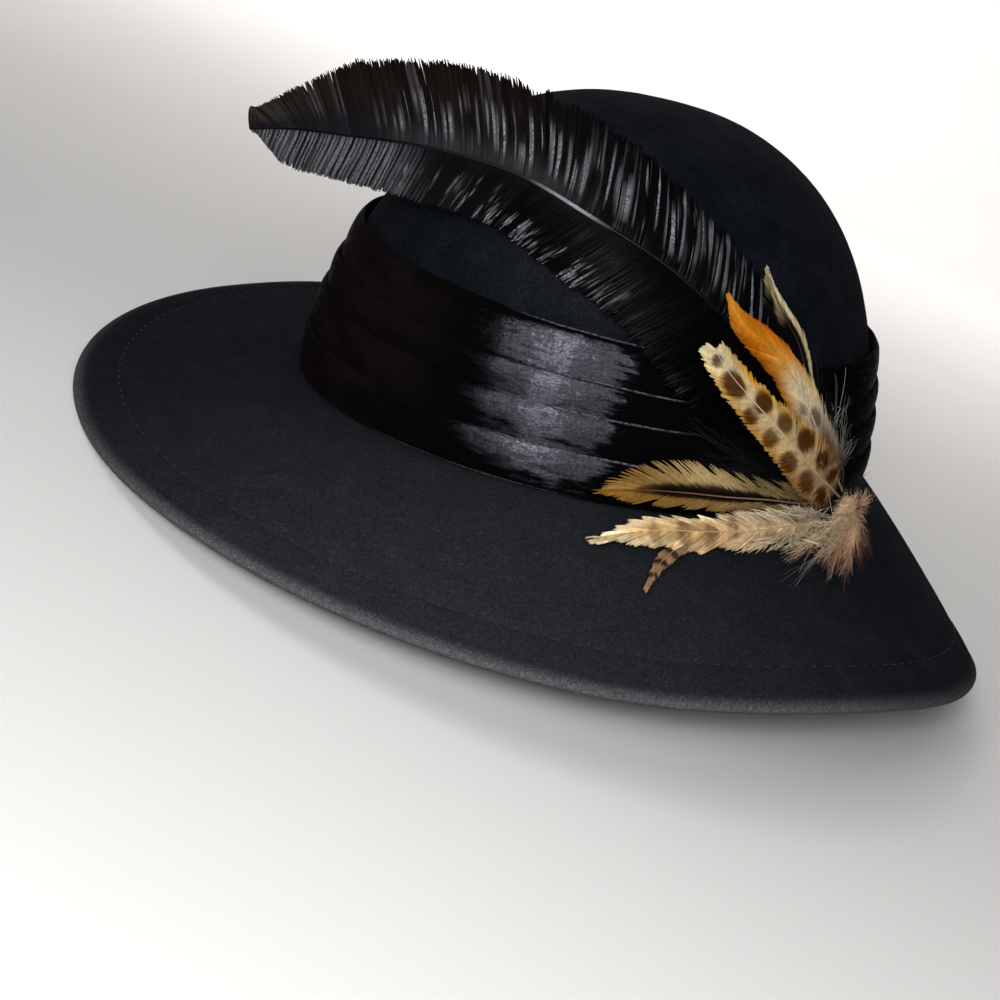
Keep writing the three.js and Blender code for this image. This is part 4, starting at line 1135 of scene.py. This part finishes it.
def painted(name, shaft, sign, along, across, share, tone):
    """Colours of barbs: base, edge, marks and the difference from barb to barb."""
    paint = PAINT[name]
    place = np.clip(along / shaft.length, 0, 1)
    side = paint["left" if sign > 0 else "right"]
    mix = eased(*paint["edge"], share)[..., None]
    colour = colours_at(paint["inner"], place) * (1 - mix) + colours_at(side, place) * mix
    if name in MARKS:
        mark_colour, ring, rows = MARKS[name]
        dark, halo = (SHADE * np.array(linear(chart)[:3]) for chart in (mark_colour, HALO))
        for row in rows:
            mark = dict(zip(MARK, row))
            reach = np.hypot((along - mark["along"]) / mark["long"],
                             (sign * across - mark["across"]) / mark["wide"])
            around = ring * within(*MARK_RING, reach)[..., None]
            colour = colour * (1 - around) + halo * around
            # A ringed mark is darkest in its middle
            core = (1.2 * (1 - eased(*MARK_CORE, reach)) * ring)[..., None]
            cover = (1 - eased(*MARK_EDGE, reach))[..., None] * mark["deep"]
            colour = colour * (1 - cover) + dark * (1 - core) * cover
    colour = paint.get("gain", 1) * colour * np.exp(paint["tone"] * tone)[..., None]
    return np.clip(colour, 0, 1)


def with_sheen(colour, amount=0.0):
    """Colours with the sheen as their fourth part."""
    return np.concatenate([colour, np.broadcast_to(amount, colour.shape[:-1])[..., None]], -1)


def barb_reach(look, shaft, side, root, sweep):
    """How far each barb reaches across its vane, and the share of it that is kept."""
    column = ("left", "right")[side]
    wide = look["wide"][side]
    if look["trim"][side]:
        # Slanting barbs that end where they meet the outline
        full = shaft.value(column, np.minimum(root, shaft.length - TRIM_END)) * wide
        parts = np.linspace(0, 1, TRIM_STEPS)
        outline = shaft.value(column, root + sweep * parts) * wide
        out = full * parts > outline
        kept = np.where(out.any(1), parts[out.argmax(1)], 1)[:, None]
        return full * kept, kept
    half = shaft.value(column, np.minimum(root + sweep, shaft.length)) * wide
    if look["round"][side]:
        rest = shaft.length + look["beyond"][side] - root - sweep
        back = np.clip(rest / look["round"][side], 0, 1)
        half = half * np.sqrt(np.clip(1 - (1 - back) ** 2, 0.01, 1))
    return half, 1


def barbs(name, shaft, sign, under):
    """Lines, facings, radii and colours of one side's barbs. sign is 1 on the left, and under is 1
    for the lower layer, whose fewer, broader and shorter barbs close the vane."""
    look = BARBS[name]
    side = 0 if sign > 0 else 1
    # Both layers have the same locks: width, lean, closeness, length, lift and brightness of each
    rng = np.random.default_rng(look["seed"] + side)
    widths = look["clump"] * (1 + LOCK_VARIETY * rng.uniform(-1, 1, MOST_LOCKS))
    lean, depth, length, tilt, glow = rng.normal(size=(5, MOST_LOCKS))
    rng = np.random.default_rng(look["seed"] + 5 + side + 2 * under)
    pitch = look["pitch"] * (1 + UNDER["pitch"] * under)
    count = int((shaft.length - look["bare"]) / pitch)
    root = np.linspace(look["bare"], shaft.length, count)[:, None]
    root = np.minimum(root + rng.normal(0, 0.15 * pitch, (count, 1)), shaft.length)
    f = np.linspace(0, 1, look["stations"])[None]
    place = root / shaft.length
    fluff = 1 - eased(*DOWNY, place)

    def odd(size=1.0):
        """A random value for each barb."""
        return rng.normal(0, size, (count, 1))

    def from_quill(pair, low=0.5, high=0.8):
        """Values that change from the first of a pair to the second between two places."""
        return pair[0] + (pair[1] - pair[0]) * eased(low, high, place)

    # Barbs cling in locks, which close up towards their tips and part from the next lock
    ends = look["bare"] - 3 + np.cumsum(widths)
    lock = np.searchsorted(ends, root)
    middle = ends[lock] - widths[lock] / 2
    cling = from_quill(look["cling"], 0.35, 0.58) * (1 + 0.3 * depth[lock]) * (1 - 0.8 * under)
    # They slant towards the feather's tip, and less where the shaft ends
    sweep = look["sweep"][side] * (1 + 0.015 * odd())
    if not look["trim"][side]:
        sweep = np.minimum(sweep, 0.9 * (shaft.length - root) + look["beyond"][side])
    wave = from_quill(look["wave"], *DOWNY)
    phase, pace = rng.uniform(0, CIRCLE, (2, count, 1))
    ripple = np.sin(phase + (3 + 0.5 * pace) * f)
    along = root + sweep * f ** 1.2 + (middle - root) * np.clip(cling, 0, 0.95) * f ** 1.6
    along = along + 0.18 * look["clump"] * cling * lean[lock] * f ** 2
    along = along + wave * f * ripple + look["stray"] * fluff * odd() * f ** 2
    half, kept = barb_reach(look, shaft, side, root, sweep)
    if look["trim"][side]:
        along = root + (along - root) * kept
    ragged = from_quill(look["ragged"])
    half = half * (1 - ragged * rng.uniform(0, 1, (count, 1)) ** 2)
    half = half * (1 - 0.3 * ragged * np.abs(length[lock])) * (1 + 0.25 * fluff)
    half = half * (1 - (1 - look["under"]) * under)
    # Across the vane, off it, and from there to points in space
    across = half * f ** 0.95 + 0.3 * wave * f * np.cos(phase + pace * f)
    lift = -from_quill(look["slope"][side]) * half * f + look["curl"][side] * f ** 2.2
    lift = lift + (odd(0.08) + look["loft"] * tilt[lock]) * f - UNDER["drop"] * under
    lift = lift + fluff * look["stray"] * np.abs(odd(0.8)) * f ** 1.5 + 0.5 * wave * f * ripple
    point, left, normal = shaft.at(along)
    lines = point + sign * left * across[..., None] + normal * lift[..., None]
    root_half, tip_half = look["barb"]
    radius = (root_half + (tip_half - root_half) * f ** 4) * (1 - 0.4 * fluff)
    radius = radius * (1 + UNDER["thick"] * under)
    # The last point of each barb is drawn in, so that it ends in a blunt tip
    radius = radius * (1 - 0.55 * (f == 1))
    twist = look["twist"] * (0.7 * tilt[lock] + 0.5 * odd()) * eased(0.1, 0.5, f)
    heading = unit(np.gradient(lines, axis=1))
    facing = unit(normal * np.cos(twist)[..., None]
                  + np.cross(heading, normal) * np.sin(twist)[..., None])
    # Locks and barbs differ in brightness, and the lower layer is in shade
    own = odd()
    tone = 0.6 * glow[lock] + 0.6 * own - UNDER["dark"] * under
    share = f + 0 * along
    light = sheen(sign, along, share, root, glow[lock], own) if name == "plume" else 0.0
    colour = with_sheen(painted(name, shaft, sign, along, across, share, tone), light)
    return lines, facing, radius, colour


def feather(name, barb_look, shaft_look, tree):
    """The barbs and the shaft of one feather, as two pieces."""
    shaft = Shaft(SHAFTS[name])
    quill, tip = BARBS[name]["shaft"]
    vane = [barbs(name, shaft, sign, under) for sign in (1, -1) for under in (1, 0)]
    distance = np.linspace(0, shaft.length, SHAFT_STATIONS)[None]
    point, _, normal = shaft.at(distance)
    share = distance / shaft.length
    radius = quill + (tip - quill) * share ** 0.8
    # The shaft stands out of the vane
    line = point + normal * (0.25 * radius)[..., None]
    rod = [(line, normal, radius, with_sheen(colours_at(PAINT[name]["shaft"], share)))]
    return (strand_piece(name + "_barbs", vane, tree, barb_look, thickness=0.25, sides=4),
            strand_piece(name + "_shaft", rod, tree, shaft_look, thickness=0.85, sides=8, smooth=True))


def hair_looks(rng, count, drift, contrast):
    """Radii of hairs that taper to their tips, and how far each differs in brightness."""
    radius = HAIR_RADIUS * (1 - HAIR_TAPER * drift) * rng.uniform(0.6, 1.3, (count, 1))
    return radius, np.exp(contrast * rng.normal(size=(count, 1)))[..., None]


def hair_colour(lock, place, tone, light=0.0):
    """Colours of hairs from the lock's root to its tip."""
    colour = colours_at([(0, lock["root"]), (1, lock["tip"])], place, DOWN_SHADE)
    return with_sheen(np.clip(colour * tone, 0, 1), light)


def puff_hairs(rng, puff):
    """Short soft hairs that stand off the pad on all sides and bend round it."""
    count = puff["hairs"]
    drift = np.linspace(0, 1, HAIR_STATIONS)[None]
    spin = rng.uniform(0, 2 * math.pi, count)
    size = rng.uniform(0.1, 0.9, count) ** 0.5
    turn = PAD["turn"] + PAD["half_length"] * size * np.cos(spin) / CROWN_ROUND
    up = PAD["up"] + PAD["half_height"] * size * np.sin(spin)
    point, normal = on_crown(turn, up, BEIGE_DOWN_OUT)
    level = unit(np.cross([0, 0, 1], normal))
    rise = np.cross(normal, level)
    spin = (spin + rng.normal(0, 0.5, count))[:, None]
    way = level * np.cos(spin) + rise * np.sin(spin)
    length = (puff["length"] * rng.uniform(0.5, 1.2, (count, 1)))[..., None]
    off = rng.uniform(0.1, 0.5, (count, 1))[..., None] * normal[:, None]
    bend = 0.3 * rng.normal(size=(count, 1, 3))
    step = drift[..., None]
    path = way[:, None] * step + off * np.sin(2.4 * step) + bend * step ** 2
    radius, tone = hair_looks(rng, count, drift, 0.3)
    colour = hair_colour(puff, drift + np.zeros((count, 1)), tone)
    facing = np.repeat(normal[:, None], HAIR_STATIONS, 1)
    return point[:, None] + length * path, facing, radius, colour


def down(name, rows, out, look, tree, seed, glints=0.0, puff=None):
    """A tuft of down: locks of fine hairs that leave the pad, spread and close to loose points."""
    rng = np.random.default_rng(seed)
    start = np.array([PAD["turn"], PAD["up"], out])
    parts = []
    for row in rows:
        lock = dict(zip(LOCK, row))
        end = np.array([lock["turn"], lock["up"], lock["out"]])
        count = lock["hairs"]
        # Short hairs start anywhere along the lock and stand out of it
        short = rng.uniform(size=(count, 1)) < SHORT_HAIRS
        begin = rng.uniform(0, 0.7, (count, 1))
        reach = np.where(short, SHORT_REACH, LONG_REACH) * rng.uniform(0.5, 1.3, (count, 1))
        share = begin + np.minimum(reach, 1.08 - begin) * np.linspace(0, 1, HAIR_STATIONS)
        place = start + (end - start) * share[..., None]
        point, normal = on_crown(place[..., 0], place[..., 1], place[..., 2])
        heading = unit(np.gradient(point, axis=1))
        side = unit(np.cross(normal, heading))
        span = np.linalg.norm(point[:, -1] - point[:, 0], axis=-1)[:, None]
        body = np.clip(share * 5, 0, 1) * np.clip(1.2 - share, 0, 1) ** 0.7 * lock["spread"]
        drift = (share - begin) / np.maximum(reach, 0.01)
        # Hairs fill the lock's width, stray from it and curl, sideways and less off the crown
        for way, amount in ((side, 1.0), (normal, 0.6)):
            base = rng.normal(0, 0.4, (count, 1)) * body
            loose = rng.normal(0, np.where(short, 0.55, 0.16), (count, 1)) * span * drift ** 1.3
            phase, pace = rng.uniform(0, CIRCLE, (2, count, 1))
            curl = 1.4 * np.sin(phase + 0.9 * pace * drift) * drift
            curl = curl + rng.normal(0, 1.6) * np.sin(2.6 * share) ** 2
            point = point + way * (amount * (base + loose + curl))[..., None]
        radius, tone = hair_looks(rng, count, drift, 0.35)
        glinting = rng.uniform(size=(count, 1)) < GLINTING_HAIRS
        light = glints * within((0.35, 0.85), 0.15, drift) * glinting
        colour = hair_colour(lock, np.clip(share + 0.1 * drift, 0, 1), tone, light)
        parts.append((point, normal, radius, colour))
    if puff:
        parts.append(puff_hairs(rng, puff))
    return strand_piece(name + "_hairs", parts, tree, look, thickness=0.8, sides=3, smooth=True)


def pad_mesh(look):
    """Small oval felt pad with rounded edges."""
    point, normal = (v[0] for v in on_crown([PAD["turn"]], [PAD["up"]], [PAD["out"]]))
    side = unit(np.cross([0, 0, 1], normal))
    rise = np.cross(normal, side)
    a = np.linspace(0, 2 * math.pi, PAD_COLUMNS, endpoint=False)
    oval = (np.cos(a)[:, None] * side * PAD["half_length"]
            + np.sin(a)[:, None] * rise * PAD["half_height"])
    half = PAD["thickness"] / 2
    profile = [(0.4, 1), (0.85, 1), (0.96, 0.9), (1, 0.72), (1, 0), (1, -0.72), (0.96, -0.9),
               (0.85, -1), (0.4, -1)]
    rings = [point + oval * size + normal * half * level for size, level in profile]
    faces = ring_faces(len(rings), PAD_COLUMNS)
    count = len(rings) * PAD_COLUMNS
    faces.append(tuple(range(PAD_COLUMNS)))
    faces.append(tuple(range(count - 1, count - PAD_COLUMNS - 1, -1)))
    return mesh_from("pad", leaned(np.concatenate(rings)), faces, look)


# Camera for a square picture, at the photograph's side and height: its turn, tilt and roll in
# radians, the point on the hat that it turns about, its distance, and how far it is shifted
YAW, ELEVATION, ROLL = 0.38240, 0.33648, 0.41819
AIM = np.array([0.75, 1.65, 56.9])
DISTANCE, SHIFT_RIGHT, SHIFT_UP = 467.46, -36.54, -49.47
FOCAL = 1489.4 / 1000  # in picture widths
SENSOR = 36
NEAR, FAR = 0.01, 20  # metres that the camera sees


def make_camera():
    """Camera at its place, turned, tilted and rolled."""
    back = np.array([math.sin(YAW) * math.cos(ELEVATION), -math.cos(YAW) * math.cos(ELEVATION),
                     math.sin(ELEVATION)])
    level = np.array([math.cos(YAW), math.sin(YAW), 0])
    upright = np.cross(back, level)
    right = math.cos(ROLL) * level + math.sin(ROLL) * upright
    up = math.cos(ROLL) * upright - math.sin(ROLL) * level
    spot = (AIM + DISTANCE * back + SHIFT_RIGHT * right + SHIFT_UP * up) * MM
    data = bpy.data.cameras.new("camera")
    data.sensor_width = SENSOR
    data.lens = FOCAL * SENSOR
    data.clip_start, data.clip_end = NEAR, FAR
    eye = bpy.data.objects.new("camera", data)
    eye.matrix_world = Matrix([
        [right[0], up[0], back[0], spot[0]],
        [right[1], up[1], back[1], spot[1]],
        [right[2], up[2], back[2], spot[2]],
        [0, 0, 0, 1],
    ])
    bpy.context.scene.collection.objects.link(eye)
    bpy.context.scene.camera = eye


# Softboxes: bearing round the hat from the front towards +X and height above the horizon in degrees,
# distance, how far behind the hat it points, width and height in metres, power in watts, and colour
LIGHT = ("name", "bearing", "height", "distance", "aim", "wide", "tall", "power", "colour")
LIGHTS = [
    ("front softbox", 17, 20, 0.6, 0, 0.56, 0.24, 3.0, "#fffdfb"),
    ("front lamp", 15, 17, 0.58, 0, 0.07, 0.07, 1.1, "#fffdfb"),
    ("overhead softbox", 202, 74, 1.4, 0, 1.6, 1.2, 5.6, "#ffffff"),
    ("backdrop softbox", 216, 55, 1.7, 3.2, 3.6, 0.8, 66, "#fffaf6"),
    ("floor softbox", 240, 48, 1.9, 1.6, 1.2, 1.0, 11, "#fffaf6"),
    ("rear softbox", 198, 30, 1.4, 0, 0.7, 0.4, 0.5, "#fff3ec"),
    ("right softbox", 95, 35, 1.4, 0, 0.4, 0.5, 0.5, "#fff6ee"),
]
HAT_MIDDLE = Vector((0, 0, 0.06))  # in metres
ROOM_LIGHT = 0.05

# Paper floor in metres: how far it reaches in front of the hat and behind, the radius of the bend
# by which it turns up there, its top, half its width, and how far it lies below the hat
PAPER_FRONT, PAPER_BACK, PAPER_BEND, PAPER_TOP = 2.2, 1.5, 0.7, 2.6
PAPER_HALF_WIDTH, PAPER_DROP = 3.0, 0.0002


def make_lights():
    """Softboxes that point at the hat or at the paper behind it, in a faintly lit room."""
    behind = Vector((-math.sin(YAW), math.cos(YAW), 0))
    for row in LIGHTS:
        light = dict(zip(LIGHT, row))
        data = bpy.data.lights.new(light["name"], "AREA")
        data.shape = "RECTANGLE"
        data.size, data.size_y = light["wide"], light["tall"]
        data.energy = light["power"]
        data.color = linear(light["colour"])[:3]
        a, e = math.radians(light["bearing"]), math.radians(light["height"])
        way = Vector((math.sin(a) * math.cos(e), -math.cos(a) * math.cos(e), math.sin(e)))
        box = bpy.data.objects.new(light["name"], data)
        box.location = HAT_MIDDLE + way * light["distance"]
        facing = behind * light["aim"] + HAT_MIDDLE - box.location
        box.rotation_mode = "QUATERNION"
        box.rotation_quaternion = facing.to_track_quat("-Z", "Y")
        bpy.context.scene.collection.objects.link(box)
    world = bpy.data.worlds.new("studio")
    bpy.context.scene.world = world
    world.use_nodes = True
    feed(world.node_tree, world.node_tree.nodes["Background"],
         {"Color": linear("#dedcda"), "Strength": ROOM_LIGHT})


def make_paper():
    """Paper floor that curves up behind the hat."""
    profile = [(-PAPER_FRONT, 0), (PAPER_BACK, 0)]
    profile += [(PAPER_BACK + PAPER_BEND * math.sin(b), PAPER_BEND * (1 - math.cos(b)))
                for b in np.radians(np.arange(10, 91, 10))]
    profile.append((PAPER_BACK + PAPER_BEND, PAPER_TOP))
    turn = Matrix.Rotation(math.radians(90) + YAW, 3, "Z")
    drop = Vector((0, 0, -PAPER_DROP))
    points = [tuple(turn @ Vector((x, y, z)) + drop)
              for x, z in profile for y in (-PAPER_HALF_WIDTH, PAPER_HALF_WIDTH)]
    faces = [(2 * i, 2 * i + 2, 2 * i + 3, 2 * i + 1) for i in range(len(profile) - 1)]
    mesh = bpy.data.meshes.new("paper")
    mesh.from_pydata(points, [], faces)
    mesh.materials.append(floor_material())
    mesh.shade_smooth()
    show(mesh, "paper_floor")


# The hat

def settle(piece, slot, *nodes):
    """Rides the piece on the hat, in place of the nodes that it stands for."""
    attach(piece, "root")
    if nodes:
        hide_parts(*nodes)


make_camera()
make_lights()
make_paper()

felt = felt_material()
settle(show(crown_mesh(felt), "crown_felt"), "felt", "crown")
settle(show(brim_mesh(felt), "brim_felt"), "felt", "brim")
settle(show(pad_mesh(felt), "binding_pad_felt"), "pad", "binding_pad")

# Stitches run round the bottom of the seam's groove, sunk in by a part of their radius
seam_at = 1 - HEM / (brim_at("reach", TURNS) - FELT)
seam_line = brim_point(TURNS, seam_at, SEAM_GROOVE - STITCH_RADIUS * 0.6)
seam = skeleton(np.concatenate([seam_line, seam_line[:1]])[None])
settle(grown("hem_stitches", seam, stitch_tree(), {
    "Pitch": STITCH_PITCH * MM, "Length": STITCH_LENGTH * MM, "Radius": STITCH_RADIUS * MM,
    "Material": thread_material()}), "felt")

cloth, cut = band_mesh(satin_material())
band = show(cloth, "satin_band_pleats")
wall = band.modifiers.new("cloth", "SOLIDIFY")
wall.thickness = SATIN * MM
wall.offset = 0
settle(band, "satin", "satin_band")

sweeping = sweep_tree()
LOOKS = {
    "plume": (barb_material("black plume barbs", 0.35, 0.02),
              shaft_material("black keratin shaft", 0.25, 0.05)),
    "pale": (barb_material("hackle barbs", 0.55, 0.01),
             shaft_material("pale keratin shaft", 0.35, 0.35)),
}
for name in SHAFTS:
    barb_look, shaft_look = LOOKS["plume" if name == "plume" else "pale"]
    slot = name.removesuffix("_feather")
    for piece in feather(name, barb_look, shaft_look, sweeping):
        settle(piece, slot, name)

fluff = barb_material("soft down", 0.7, 0.05)
settle(down("dark_down", DARK_DOWN, DARK_DOWN_OUT, fluff, sweeping, seed=91, glints=0.05),
       "dark_down", "dark_down")
settle(down("beige_down", BEIGE_DOWN, BEIGE_DOWN_OUT, fluff, sweeping, seed=92, puff=PUFF),
       "beige_down", "beige_down")

bpy.context.scene.view_settings.view_transform = "Standard"
